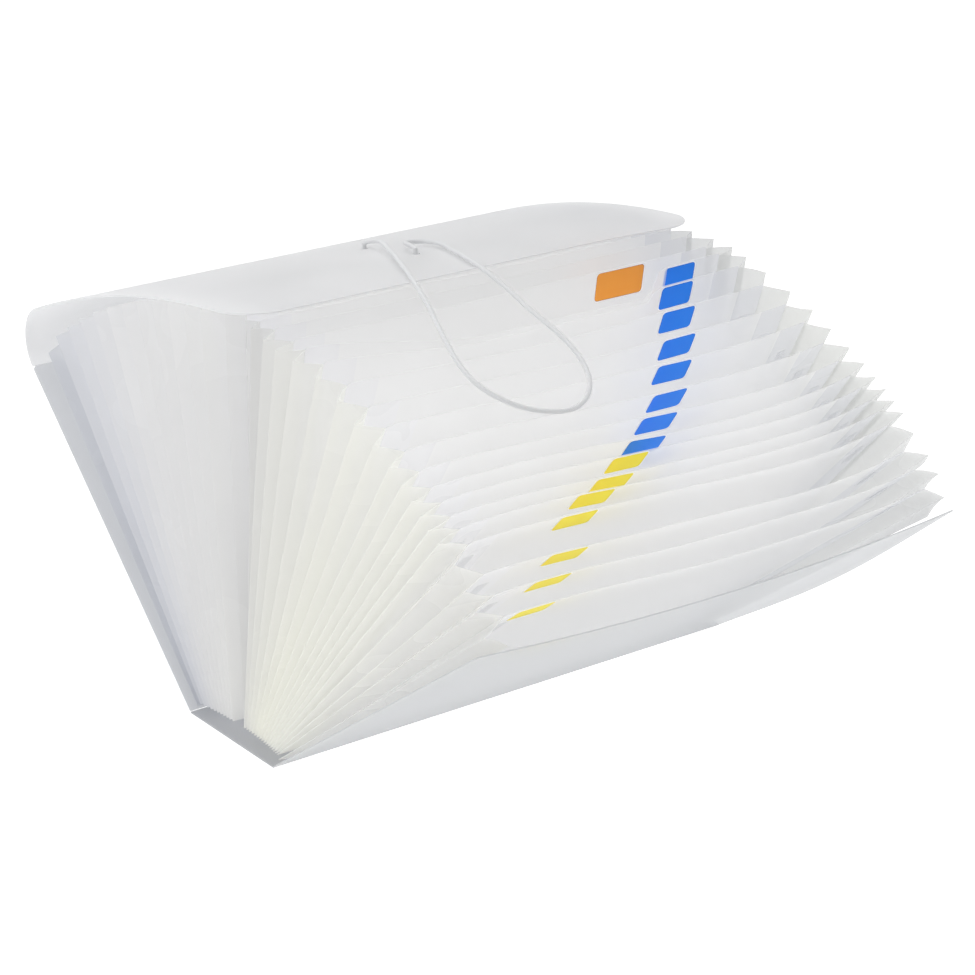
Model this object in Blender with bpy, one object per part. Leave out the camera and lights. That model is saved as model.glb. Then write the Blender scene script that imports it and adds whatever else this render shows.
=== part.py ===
"""Expanding file folder, standing open as a fan on its spine strip.

Frame: metres, +Z up. X runs along the spine, the front is -Y, and the origin
is the middle of the spine strip's underside. Two stiff covers lean out from
the spine's edges, thirty-one thin dividers fan out between them, folded
gussets close both ends and the bottom, and a flap carried by the back cover
lies over the rear pockets with an elastic cord knotted through two holes.

Every leaning piece is modelled upright with its origin on its fold line, and
then turned about X. A positive lean tips a piece forward, towards -Y.
"""

import math

import bmesh
import bpy
from mathutils import Matrix, Vector

# Spine and covers
COVER_LENGTH = 0.330
COVER_HEIGHT = 0.240
SPINE_WIDTH = 0.0892
BOARD_THICKNESS = 0.0008
FRONT_LEAN = math.radians(54.6)
BACK_LEAN = math.radians(46.0)

# Gap left between meshes that touch on the real folder
FIT_GAP = 0.0003

# Dividers, counted from the back cover
POCKETS = 32
UPRIGHT_DIVIDER = 13
DIVIDER_WIDTH = 0.290
DIVIDER_REACH_PAST_COVER = 0.005
DIVIDER_HEIGHT = COVER_HEIGHT + DIVIDER_REACH_PAST_COVER
DIVIDER_THICKNESS = 0.0004
SPINE_MARGIN = 0.0004
FOOT_HEIGHT = 0.005
FOOT_ARCH = 0.003

# How much closer the dividers' feet stand at the front than at the back
CROWDING_SHARE = 0.43

# Leans of the dividers in front of the upright one, as shares of FRONT_LEAN
FRONT_LEAN_SHARES = (
    0.045, 0.095, 0.163, 0.200, 0.266, 0.352, 0.432, 0.496, 0.566,
    0.621, 0.663, 0.698, 0.731, 0.760, 0.795, 0.864, 0.910, 0.956,
)

# Labels: large ones on the rear pockets, small ones on the front pockets
LABEL_THICKNESS = 0.0003
LABEL_GAP = 0.0002
LABEL_CORNER_RADIUS = 0.003
LABEL_TOP_MARGIN = 0.0005
PANEL_ROOT = 0.0001
LABEL_GROUP = 8
LAST_LARGE_POCKET = 2 * LABEL_GROUP
LARGE_LABEL_WIDTH = 0.036
LARGE_LABEL_HEIGHT = 0.019
LARGE_LABEL_LEFT_MARGIN = 0.009
LARGE_LABEL_RIGHT_MARGIN = 0.048
SMALL_LABEL_WIDTH = 0.025
SMALL_LABEL_HEIGHT = 0.016
SMALL_LABEL_LEFT_MARGIN = 0.0085
SMALL_LABEL_RIGHT_MARGIN = 0.0185

# The dividers behind the upright one have raised labels, the next ones are bare, the rest have cards
FIRST_LOOSE_LABEL = 16

# Gussets: a folded wall between each pair of neighbouring sheets
GUSSET_WALL = 0.016
GUSSET_EDGE_DROP = 0.001
GUSSET_DEPTH_AT_FOOT = 0.0024
GUSSET_DEPTH_AT_TOP = 0.0008
GUSSET_FOOT_RISE = 0.0015
BOTTOM_FOLD_DEPTH = 0.0025
BOTTOM_STRIP_DEPTH = 0.0008
BOTTOM_FOLD_CLEARANCE = 0.0005

# Flap: a bend over the back cover's top edge, then a gently arched sheet
FOLD_RADIUS = 0.024
FOLD_TURN_LIMITS = (math.radians(60), math.radians(170))
FOLD_TURN_STEP = math.radians(0.001)
FOLD_STEPS = 10
FLAP_CLEARANCE = 0.0022
FLAP_ARCH_RADIUS = 0.730
FLAP_LENGTH = 0.2455
FLAP_CORNER_RADIUS = 0.027
FLAP_STEPS = 16
CORNER_STEPS = 6

# Cord, its two holes in the flap and the bars that hold its ends
CORD_DIAMETER = 0.0028
CORD_POINT_SPACING = 0.0073
CORD_SIDES_RESOLUTION = 2
CORD_RISE = 0.0028
HOLE_DIAMETER = 0.005
HOLE_STEPS = 16
HOLE_X = -0.010
REAR_HOLE_ALONG = 0.1325
FRONT_HOLE_ALONG = 0.1865
BARB_LENGTH = 0.012
BARB_WIDTH = 0.0024
BARB_THICKNESS = 0.0012

# The cord's free route from the rear hole round to the front hole
CORD_ROUTE = (
    (-0.0085, 0.0735, 0.2525),
    (-0.0244, 0.0358, 0.2585),
    (-0.0400, 0.0030, 0.2618),
    (-0.0540, -0.0284, 0.2625),
    (-0.0618, -0.0536, 0.2560),
    (-0.0731, -0.0834, 0.2485),
    (-0.0813, -0.1101, 0.2404),
    (-0.0813, -0.1280, 0.2330),
    (-0.0744, -0.1408, 0.2270),
    (-0.0644, -0.1495, 0.2225),
    (-0.0517, -0.1546, 0.2197),
    (-0.0391, -0.1557, 0.2190),
    (-0.0277, -0.1515, 0.2213),
    (-0.0188, -0.1436, 0.2256),
    (-0.0140, -0.1340, 0.2303),
    (-0.0110, -0.1214, 0.2359),
    (-0.0105, -0.1056, 0.2419),
    (-0.0109, -0.0791, 0.2497),
    (-0.0098, -0.0541, 0.2568),
    (-0.0090, -0.0275, 0.2625),
    (0.0018, 0.0100, 0.2600),
    (0.0092, 0.0360, 0.2568),
    (0.0068, 0.0490, 0.2552),
    (-0.0035, 0.0500, 0.2560),
)

SAMPLES_PER_SPAN = 24
COLLECTION_NAME = "expanding_file_folder"
CUTTER_COLLECTION_NAME = "cutters"

LABEL_COLOURS = {
    "green": (0.10, 0.42, 0.12),
    "orange": (0.77, 0.29, 0.04),
    "blue": (0.013, 0.19, 0.87),
    "yellow": (0.87, 0.71, 0.024),
}


def clear_scene():
    """Remove every object that the file opened with."""
    for item in list(bpy.data.objects):
        bpy.data.objects.remove(item)


def make_collection(name):
    """Return a new collection linked to the scene."""
    collection = bpy.data.collections.new(name)
    bpy.context.scene.collection.children.link(collection)
    return collection


def make_material(name, colour, roughness, metallic=0.0, alpha=1.0):
    """Return a Principled material of one plain colour."""
    material = bpy.data.materials.new(name)
    material.use_nodes = True
    shader = material.node_tree.nodes["Principled BSDF"]
    shader.inputs["Base Color"].default_value = (*colour, 1.0)
    shader.inputs["Roughness"].default_value = roughness
    shader.inputs["Metallic"].default_value = metallic
    shader.inputs["Alpha"].default_value = alpha
    return material


def make_materials():
    """Return the folder's materials by name."""
    materials = {
        "clear_board": make_material("clear_board", (0.72, 0.74, 0.75), 0.35, alpha=0.7),
        "milky_sheet": make_material("milky_sheet", (0.84, 0.86, 0.87), 0.45, alpha=0.85),
        "cord_grey": make_material("cord_grey", (0.60, 0.61, 0.63), 0.75),
        "barb_metal": make_material("barb_metal", (0.55, 0.55, 0.56), 0.30, metallic=1.0),
    }
    for name, colour in LABEL_COLOURS.items():
        materials[name] = make_material("label_" + name, colour, 0.5)
    return materials


def add_object(name, mesh, material, collection, parent=None, place=None, lean=0.0):
    """Add a mesh as a named object, placed in its parent's frame and turned about X."""
    item = bpy.data.objects.new(name, mesh)
    collection.objects.link(item)
    item.parent = parent
    item.location = place or (0, 0, 0)
    item.rotation_euler = (lean, 0, 0)
    mesh.materials.append(material)
    return item


def mesh_from(shape, name):
    """Turn a bmesh into a mesh with its faces pointing out."""
    bmesh.ops.recalc_face_normals(shape, faces=shape.faces)
    mesh = bpy.data.meshes.new(name)
    shape.to_mesh(mesh)
    shape.free()
    return mesh


def block(name, low, high):
    """Return a box mesh between two opposite corners."""
    size = [high[axis] - low[axis] for axis in range(3)]
    middle = [(high[axis] + low[axis]) / 2 for axis in range(3)]
    shape = bmesh.new()
    bmesh.ops.create_cube(shape, size=1.0)
    bmesh.ops.scale(shape, vec=size, verts=shape.verts)
    bmesh.ops.translate(shape, vec=middle, verts=shape.verts)
    return mesh_from(shape, name)


def arc_points(centre, radius, start, end, steps):
    """Return points along an arc, both ends included."""
    points = []
    for step in range(steps + 1):
        angle = start + (end - start) * step / steps
        points.append((centre[0] + radius * math.cos(angle), centre[1] + radius * math.sin(angle)))
    return points


def rounded_outline(half_width, low, high, foot_radius, top_radius):
    """Return the outline of an upright panel, with its corners rounded where a radius is given."""
    quarter = math.pi / 2
    corners = (
        (half_width, low, foot_radius, -quarter, 1, -1),
        (half_width, high, top_radius, 0, 1, 1),
        (-half_width, high, top_radius, quarter, -1, 1),
        (-half_width, low, foot_radius, 2 * quarter, -1, -1),
    )
    points = []
    for x, z, radius, start, side, rise in corners:
        if radius:
            centre = (x - side * radius, z - rise * radius)
            points += arc_points(centre, radius, start, start + quarter, CORNER_STEPS)
        else:
            points.append((x, z))
    return points


def sheet(name, loops, thickness):
    """Return an upright sheet cut to its outline, with holes where further loops are given.

    The sheet's outer face lies on y = 0 and its inner face on y = -thickness.
    """
    curve = bpy.data.curves.new(name, "CURVE")
    curve.dimensions = "2D"
    curve.fill_mode = "BOTH"
    curve.extrude = thickness / 2
    for loop in loops:
        spline = curve.splines.new("POLY")
        spline.points.add(len(loop) - 1)
        for point, (x, z) in zip(spline.points, loop):
            point.co = (x, z, 0, 1)
        spline.use_cyclic_u = True
    holder = bpy.data.objects.new(name, curve)
    bpy.context.scene.collection.objects.link(holder)
    depsgraph = bpy.context.evaluated_depsgraph_get()
    flat = bpy.data.meshes.new_from_object(holder.evaluated_get(depsgraph))
    shape = bmesh.new()
    shape.from_mesh(flat)
    bmesh.ops.remove_doubles(shape, verts=shape.verts, dist=thickness / 10)
    bmesh.ops.rotate(shape, cent=(0, 0, 0), matrix=Matrix.Rotation(math.pi / 2, 3, "X"), verts=shape.verts)
    bmesh.ops.translate(shape, vec=(0, -thickness / 2, 0), verts=shape.verts)
    bpy.data.objects.remove(holder)
    bpy.data.curves.remove(curve)
    bpy.data.meshes.remove(flat)
    return shape


def bend(shape, radius, length, steps):
    """Bend an upright sheet over towards -y, so that its outer face follows a radius."""
    for step in range(1, steps):
        geometry = list(shape.verts) + list(shape.edges) + list(shape.faces)
        cut = (0, 0, length * step / steps)
        bmesh.ops.bisect_plane(shape, geom=geometry, plane_co=cut, plane_no=(0, 0, 1), dist=FIT_GAP / 10)
    bmesh.ops.triangulate(shape, faces=shape.faces)
    for vertex in shape.verts:
        angle = vertex.co.z / radius
        reach = radius + vertex.co.y
        vertex.co.y = reach * math.cos(angle) - radius
        vertex.co.z = reach * math.sin(angle)


def bent_place(radius, along, depth):
    """Return the place and turn of a point on a bent sheet, at a depth under its outer face."""
    angle = along / radius
    reach = radius - depth
    return Vector((0, reach * math.cos(angle) - radius, reach * math.sin(angle))), angle


def divider_lean(pocket):
    """Return the forward lean of a sheet, counted from the back cover."""
    if pocket == POCKETS:
        return FRONT_LEAN
    if pocket <= UPRIGHT_DIVIDER:
        return -BACK_LEAN * (1 - pocket / UPRIGHT_DIVIDER)
    return FRONT_LEAN * FRONT_LEAN_SHARES[pocket - UPRIGHT_DIVIDER - 1]


def divider_foot(pocket):
    """Return the fold line of a divider, where its lower edge is welded to the bottom."""
    share = pocket / POCKETS
    crowded = share * (1 + CROWDING_SHARE * (1 - share))
    y = (SPINE_WIDTH / 2 - SPINE_MARGIN) * (1 - 2 * crowded)
    z = FOOT_HEIGHT + FOOT_ARCH * math.sin(math.pi * share)
    return Vector((0, y, z))


def along_sheet(foot, lean, reach, inset=0.0):
    """Return a point on a leaning sheet, moved in front of it by an inset."""
    rise = Vector((0, -math.sin(lean), math.cos(lean)))
    front = Vector((0, -math.cos(lean), -math.sin(lean)))
    return foot + rise * reach + front * inset


def make_spine(materials, collection):
    """Add the strip that the folder stands on."""
    low = (-COVER_LENGTH / 2, -SPINE_WIDTH / 2, 0)
    high = (COVER_LENGTH / 2, SPINE_WIDTH / 2, BOARD_THICKNESS)
    add_object("spine_strip", block("spine_strip", low, high), materials["clear_board"], collection)


def make_cover(name, side, lean, materials, collection):
    """Add a stiff cover whose outer face starts at one long edge of the spine."""
    inner = -side * BOARD_THICKNESS
    low = (-COVER_LENGTH / 2, min(0, inner), BOARD_THICKNESS + FIT_GAP)
    high = (COVER_LENGTH / 2, max(0, inner), COVER_HEIGHT)
    hinge = (0, side * SPINE_WIDTH / 2, 0)
    mesh = block(name, low, high)
    return add_object(name, mesh, materials["clear_board"], collection, place=hinge, lean=lean)


def label_colour(pocket):
    """Return the colour group that a pocket's label belongs to."""
    names = list(LABEL_COLOURS)
    return names[(pocket - 1) // LABEL_GROUP]


def label_size_and_x(pocket):
    """Return a label's width and height and the place of its middle along the divider.

    The large labels step from left to right in each colour group, and the
    small ones step from right to left across both of theirs.
    """
    if pocket <= LAST_LARGE_POCKET:
        width, height = LARGE_LABEL_WIDTH, LARGE_LABEL_HEIGHT
        left = LARGE_LABEL_LEFT_MARGIN
        right = LARGE_LABEL_RIGHT_MARGIN
        share = ((pocket - 1) % LABEL_GROUP) / (LABEL_GROUP - 1)
    else:
        width, height = SMALL_LABEL_WIDTH, SMALL_LABEL_HEIGHT
        left = SMALL_LABEL_LEFT_MARGIN
        right = SMALL_LABEL_RIGHT_MARGIN
        share = (POCKETS - 1 - pocket) / (POCKETS - 2 - LAST_LARGE_POCKET)
    first = -DIVIDER_WIDTH / 2 + left + width / 2
    last = DIVIDER_WIDTH / 2 - right - width / 2
    return width, height, first + (last - first) * share


def label_mesh(name, width, height, thickness):
    """Return a rounded label card, hanging down from its own top edge."""
    outline = rounded_outline(width / 2, -height, 0, LABEL_CORNER_RADIUS, LABEL_CORNER_RADIUS)
    return mesh_from(sheet(name, [outline], thickness), name)


def make_label(pocket, divider, materials, collection, cutters):
    """Add a divider's label: a loose card at the front, a raised panel far back, none between them."""
    if UPRIGHT_DIVIDER <= pocket < FIRST_LOOSE_LABEL:
        return
    width, height, x = label_size_and_x(pocket)
    top = DIVIDER_HEIGHT - LABEL_TOP_MARGIN
    face = -DIVIDER_THICKNESS / 2
    name = f"label_{pocket:02d}"
    material = materials[label_colour(pocket)]
    if pocket >= FIRST_LOOSE_LABEL:
        mesh = label_mesh(name, width, height, LABEL_THICKNESS)
        add_object(name, mesh, material, collection, divider, (x, face - LABEL_GAP, top))
        return
    mesh = label_mesh(name, width, height, LABEL_THICKNESS + PANEL_ROOT)
    panel = add_object(name + "_panel", mesh, material, cutters, divider, (x, face + PANEL_ROOT, top))
    panel.hide_render = True
    panel.display_type = "WIRE"
    union = divider.modifiers.new("raised_label", "BOOLEAN")
    union.operation = "UNION"
    union.solver = "EXACT"
    union.object = panel


def make_dividers(materials, collection, cutters):
    """Add the thin sheets between the pockets, each with its label."""
    half = DIVIDER_THICKNESS / 2
    for pocket in range(1, POCKETS):
        name = f"divider_{pocket:02d}"
        mesh = block(name, (-DIVIDER_WIDTH / 2, -half, 0), (DIVIDER_WIDTH / 2, half, DIVIDER_HEIGHT))
        foot = divider_foot(pocket)
        lean = divider_lean(pocket)
        divider = add_object(name, mesh, materials["milky_sheet"], collection, place=foot, lean=lean)
        make_label(pocket, divider, materials, collection, cutters)


def sheet_line(pocket):
    """Return the foot, the lean and the gusset's reach for a sheet or a cover's inner face."""
    lean = divider_lean(pocket)
    reach = COVER_HEIGHT - GUSSET_EDGE_DROP
    inset = BOARD_THICKNESS + FIT_GAP
    if pocket == 0:
        corner = Vector((0, SPINE_WIDTH / 2, 0))
        return along_sheet(corner, lean, 0, inset), lean, reach
    if pocket == POCKETS:
        corner = Vector((0, -SPINE_WIDTH / 2, 0))
        return along_sheet(corner, lean, 0, -inset), lean, reach
    return divider_foot(pocket), lean, DIVIDER_HEIGHT - GUSSET_EDGE_DROP


def gusset_columns(side):
    """Return the gusset's straight fold lines from back to front, as (foot, top) points.

    The even ones lie along the sheets' edges, and the odd ones are the ridges
    that stand out between two sheets.
    """
    lines = []
    for index in range(2 * POCKETS + 1):
        foot_a, lean_a, reach_a = sheet_line(index // 2)
        foot_b, lean_b, reach_b = sheet_line((index + 1) // 2)
        foot = (foot_a + foot_b) / 2
        lean = (lean_a + lean_b) / 2
        low = along_sheet(foot, lean, GUSSET_FOOT_RISE)
        high = along_sheet(foot, lean, (reach_a + reach_b) / 2)
        lines.append((low, high))
    columns = []
    for index, line in enumerate(lines):
        column = []
        for row, point in enumerate(line):
            stand = 0.0
            if index % 2:
                half_gap = (lines[index + 1][row] - lines[index - 1][row]).length / 2
                stand = math.sqrt(max(0.0, GUSSET_WALL ** 2 - half_gap ** 2))
            x = side * (DIVIDER_WIDTH / 2 + FIT_GAP + stand)
            column.append(Vector((x, point.y, point.z)))
        columns.append(column)
    return columns


def grid_strip(columns, depths, direction):
    """Return a strip through columns of two points, thickened along one direction.

    The depths are the thickness along the first and along the second points.
    """
    shape = bmesh.new()
    made = bmesh.ops.create_grid(shape, x_segments=len(columns) - 1, y_segments=1, size=1.0)
    shift = Vector(direction)
    moves = {}
    for vertex in made["verts"]:
        index = round((vertex.co.x + 1) / 2 * (len(columns) - 1))
        row = int(vertex.co.y > 0)
        vertex.co = columns[index][row]
        moves[tuple(vertex.co)] = shift * depths[row]
    bmesh.ops.triangulate(shape, faces=shape.faces)
    skin = bmesh.ops.extrude_face_region(shape, geom=shape.faces[:])
    for item in skin["geom"]:
        if isinstance(item, bmesh.types.BMVert):
            item.co += moves[tuple(item.co)]
    return shape


def make_side_gussets(materials, collection):
    """Add the folded walls that close the pockets at both ends of the spine."""
    depths = (GUSSET_DEPTH_AT_FOOT, GUSSET_DEPTH_AT_TOP)
    for name, side in (("gusset_left", -1), ("gusset_right", 1)):
        shape = grid_strip(gusset_columns(side), depths, (side, 0, 0))
        add_object(name, mesh_from(shape, name), materials["milky_sheet"], collection)


def make_bottom_gusset(materials, collection):
    """Add the folded strip that the dividers' lower edges are welded to."""
    seat = BOARD_THICKNESS + FIT_GAP + BOTTOM_STRIP_DEPTH
    edge = SPINE_WIDTH / 2 - BOARD_THICKNESS - FIT_GAP
    folds = [(edge, seat)]
    for pocket in range(1, POCKETS):
        foot = divider_foot(pocket)
        crest = foot.z - BOTTOM_FOLD_CLEARANCE
        if pocket > 1:
            folds.append(((foot.y + last.y) / 2, (foot.z + last.z) / 2 - BOTTOM_FOLD_DEPTH))
        folds.append((foot.y, crest))
        last = foot
    folds.append((-edge, seat))
    half = DIVIDER_WIDTH / 2
    columns = [[Vector((-half, y, z)), Vector((half, y, z))] for y, z in folds]
    shape = grid_strip(columns, (BOTTOM_STRIP_DEPTH, BOTTOM_STRIP_DEPTH), (0, 0, -1))
    add_object("bottom_gusset", mesh_from(shape, "bottom_gusset"), materials["milky_sheet"], collection)


def flap_clearance(turn):
    """Return the flap's least height over the divider tops for a turn of the bend."""
    crease = along_sheet(Vector((0, SPINE_WIDTH / 2, 0)), -BACK_LEAN, COVER_HEIGHT)
    to_bend = Matrix.Translation(crease) @ Matrix.Rotation(-BACK_LEAN, 4, "X")
    start, _ = bent_place(FOLD_RADIUS, FOLD_RADIUS * turn, 0)
    to_flap = to_bend @ Matrix.Translation(start) @ Matrix.Rotation(turn, 4, "X")
    middle = to_flap @ Vector((0, -FLAP_ARCH_RADIUS, 0))
    inner_radius = FLAP_ARCH_RADIUS - BOARD_THICKNESS
    tops = [along_sheet(divider_foot(k), divider_lean(k), DIVIDER_HEIGHT) for k in range(1, UPRIGHT_DIVIDER + 1)]
    return min(inner_radius - (top - middle).length for top in tops)


def fold_turn():
    """Return how far the bend turns, so that the flap just clears the dividers."""
    low, high = FOLD_TURN_LIMITS
    while high - low > FOLD_TURN_STEP:
        middle = (low + high) / 2
        if flap_clearance(middle) > FLAP_CLEARANCE:
            low = middle
        else:
            high = middle
    return low


def make_flap(back_cover, materials, collection):
    """Add the bend over the back cover's top edge and the flap that it carries."""
    turn = fold_turn()
    fold_length = FOLD_RADIUS * turn
    half = COVER_LENGTH / 2
    strip = sheet("flap_fold", [rounded_outline(half, FIT_GAP, fold_length, 0, 0)], BOARD_THICKNESS)
    bend(strip, FOLD_RADIUS, fold_length, FOLD_STEPS)
    crease = (0, 0, COVER_HEIGHT)
    mesh = mesh_from(strip, "flap_fold")
    fold = add_object("flap_fold", mesh, materials["clear_board"], collection, back_cover, crease)

    loops = [rounded_outline(half, FIT_GAP, FLAP_LENGTH, 0, FLAP_CORNER_RADIUS)]
    for along in (REAR_HOLE_ALONG, FRONT_HOLE_ALONG):
        rim = arc_points((HOLE_X, along), HOLE_DIAMETER / 2, 0, 2 * math.pi, HOLE_STEPS)
        loops.append(rim[:-1])
    panel = sheet("flap", loops, BOARD_THICKNESS)
    bend(panel, FLAP_ARCH_RADIUS, FLAP_LENGTH, FLAP_STEPS)
    place, _ = bent_place(FOLD_RADIUS, fold_length, 0)
    mesh = mesh_from(panel, "flap")
    return add_object("flap", mesh, materials["clear_board"], collection, fold, place, turn)


def make_barbs(flap, materials, collection):
    """Add the small bars under the flap that keep the cord's ends from pulling out."""
    half = (BARB_LENGTH / 2, BARB_THICKNESS / 2, BARB_WIDTH / 2)
    depth = BOARD_THICKNESS + FIT_GAP + BARB_THICKNESS / 2
    for name, along in (("cord_barb_rear", REAR_HOLE_ALONG), ("cord_barb_front", FRONT_HOLE_ALONG)):
        mesh = block(name, [-value for value in half], half)
        place, turn = bent_place(FLAP_ARCH_RADIUS, along, depth)
        place.x = HOLE_X
        add_object(name, mesh, materials["barb_metal"], collection, flap, place, turn)


def catmull_rom(p0, p1, p2, p3, share):
    """Return a point between p1 and p2 on a centripetal curve through four points."""
    t1 = math.sqrt((p1 - p0).length)
    t2 = t1 + math.sqrt((p2 - p1).length)
    t3 = t2 + math.sqrt((p3 - p2).length)
    t = t1 + (t2 - t1) * share
    a1 = p0.lerp(p1, t / t1)
    a2 = p1.lerp(p2, (t - t1) / (t2 - t1))
    a3 = p2.lerp(p3, (t - t2) / (t3 - t2))
    b1 = a1.lerp(a2, t / t2)
    b2 = a2.lerp(a3, (t - t1) / (t3 - t1))
    return b1.lerp(b2, (t - t1) / (t2 - t1))


def smooth_route(points, spacing):
    """Return evenly spaced points along a smooth curve from the second point to the last but one."""
    fine = []
    for index in range(len(points) - 3):
        four = points[index:index + 4]
        fine += [catmull_rom(*four, step / SAMPLES_PER_SPAN) for step in range(SAMPLES_PER_SPAN)]
    fine.append(points[-2])
    lengths = [0.0]
    for start, end in zip(fine, fine[1:]):
        lengths.append(lengths[-1] + (end - start).length)
    count = round(lengths[-1] / spacing)
    even = []
    index = 0
    for step in range(count + 1):
        target = lengths[-1] * step / count
        while index < len(fine) - 2 and lengths[index + 1] < target:
            index += 1
        share = (target - lengths[index]) / (lengths[index + 1] - lengths[index])
        even.append(fine[index].lerp(fine[index + 1], share))
    return even


def make_cord(flap, materials, collection):
    """Add the elastic cord, from the rear hole round its loop to the front hole."""
    bpy.context.view_layer.update()
    ends = []
    for along in (REAR_HOLE_ALONG, FRONT_HOLE_ALONG):
        low, _ = bent_place(FLAP_ARCH_RADIUS, along, BOARD_THICKNESS)
        high, _ = bent_place(FLAP_ARCH_RADIUS, along, -CORD_RISE)
        low.x = HOLE_X
        high.x = HOLE_X
        ends.append([flap.matrix_world @ low, flap.matrix_world @ high])
    rear, front = ends
    points = rear + [Vector(point) for point in CORD_ROUTE] + front[::-1]
    route = [points[0]] + smooth_route(points, CORD_POINT_SPACING) + [points[-1]]
    curve = bpy.data.curves.new("elastic_cord", "CURVE")
    curve.dimensions = "3D"
    curve.bevel_depth = CORD_DIAMETER / 2
    curve.bevel_resolution = CORD_SIDES_RESOLUTION
    curve.use_fill_caps = True
    spline = curve.splines.new("POLY")
    spline.points.add(len(route) - 1)
    for point, place in zip(spline.points, route):
        point.co = (*place, 1)
    curve.materials.append(materials["cord_grey"])
    cord = bpy.data.objects.new("elastic_cord", curve)
    collection.objects.link(cord)
    cord.parent = flap
    cord.matrix_parent_inverse = flap.matrix_world.inverted()


def main():
    """Build the whole folder."""
    clear_scene()
    collection = make_collection(COLLECTION_NAME)
    cutters = make_collection(CUTTER_COLLECTION_NAME)
    materials = make_materials()
    make_spine(materials, collection)
    make_bottom_gusset(materials, collection)
    make_side_gussets(materials, collection)
    make_cover("front_cover", -1, FRONT_LEAN, materials, collection)
    back_cover = make_cover("back_cover", 1, -BACK_LEAN, materials, collection)
    make_dividers(materials, collection, cutters)
    flap = make_flap(back_cover, materials, collection)
    make_barbs(flap, materials, collection)
    make_cord(flap, materials, collection)


main()
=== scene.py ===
"""Looks of an expanding file folder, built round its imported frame.

Everything is in metres in the frame's own axes: X runs along the spine, the
front is -Y, and the folder stands on z = 0. Sheets are modelled upright on
their fold line and then leaned into the fan.
"""

import logging
import math
import random
from collections.abc import Callable, Iterator, Sequence
from contextlib import contextmanager
from dataclasses import dataclass, field
from enum import Enum

import bmesh
import bpy
from bpy.types import Material, Node, NodeSocket, NodeTree, Object
from mathutils import Matrix, Quaternion, Vector

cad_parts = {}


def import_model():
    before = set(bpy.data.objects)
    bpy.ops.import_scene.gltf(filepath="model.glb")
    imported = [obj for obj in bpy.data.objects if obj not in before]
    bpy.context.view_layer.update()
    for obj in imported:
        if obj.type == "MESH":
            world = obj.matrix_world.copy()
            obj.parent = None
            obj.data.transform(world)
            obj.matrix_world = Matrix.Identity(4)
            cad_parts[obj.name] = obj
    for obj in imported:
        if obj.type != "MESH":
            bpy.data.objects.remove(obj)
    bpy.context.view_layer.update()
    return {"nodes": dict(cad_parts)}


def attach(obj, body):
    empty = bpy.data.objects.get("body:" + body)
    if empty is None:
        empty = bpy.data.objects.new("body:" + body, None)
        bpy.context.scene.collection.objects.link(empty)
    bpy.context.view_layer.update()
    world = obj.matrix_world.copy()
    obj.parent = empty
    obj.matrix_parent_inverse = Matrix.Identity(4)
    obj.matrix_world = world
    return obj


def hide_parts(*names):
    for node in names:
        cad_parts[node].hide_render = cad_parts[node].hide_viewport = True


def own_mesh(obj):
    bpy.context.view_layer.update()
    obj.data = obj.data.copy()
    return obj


LOG = logging.getLogger("folder")
CLOSED_SLACK = 0.9
NEAR = 1e-5

Shift = Callable[[Vector], float]
Test = Callable[[Vector], bool]


def linear(hex_colour: str) -> tuple[float, float, float, float]:
    """Turn an sRGB hex colour into linear light.

    Args:
        hex_colour: the colour as "#RRGGBB".

    Returns:
        Linear red, green and blue, with an alpha of 1.
    """
    values = [int(hex_colour[start:start + 2], 16) / 255 for start in (1, 3, 5)]
    made = [v / 12.92 if v <= 0.04045 else ((v + 0.055) / 1.055) ** 2.4 for v in values]
    return made[0], made[1], made[2], 1.0


def add_node(tree: NodeTree, kind: str, inputs: dict | None = None, **settings: object) -> Node:
    """Add a shader node with its settings, values and links.

    Args:
        tree: the material's node tree.
        kind: Blender's name for the node, after its "ShaderNode".
        inputs: what goes into a socket: a value, or another node's output.
        settings: the node's own options.

    Returns:
        The new node.
    """
    made = tree.nodes.new("ShaderNode" + kind)
    for key, value in settings.items():
        setattr(made, key, value)
    for key, value in (inputs or {}).items():
        if isinstance(value, NodeSocket):
            tree.links.new(value, made.inputs[key])
        else:
            made.inputs[key].default_value = value
    return made


def start_material(name: str) -> tuple[Material, NodeTree]:
    """Start a material with an empty node tree.

    Args:
        name: its name.

    Returns:
        The material and its tree.
    """
    made = bpy.data.materials.new(name)
    made.use_nodes = True
    made.node_tree.nodes.clear()
    return made, made.node_tree


def smooth_step(low: float, high: float, value: float) -> float:
    """Return 0 below low and 1 above high, with a smooth rise between them."""
    share = min(1.0, max(0.0, (value - low) / (high - low)))
    return share * share * (3 - 2 * share)


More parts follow.
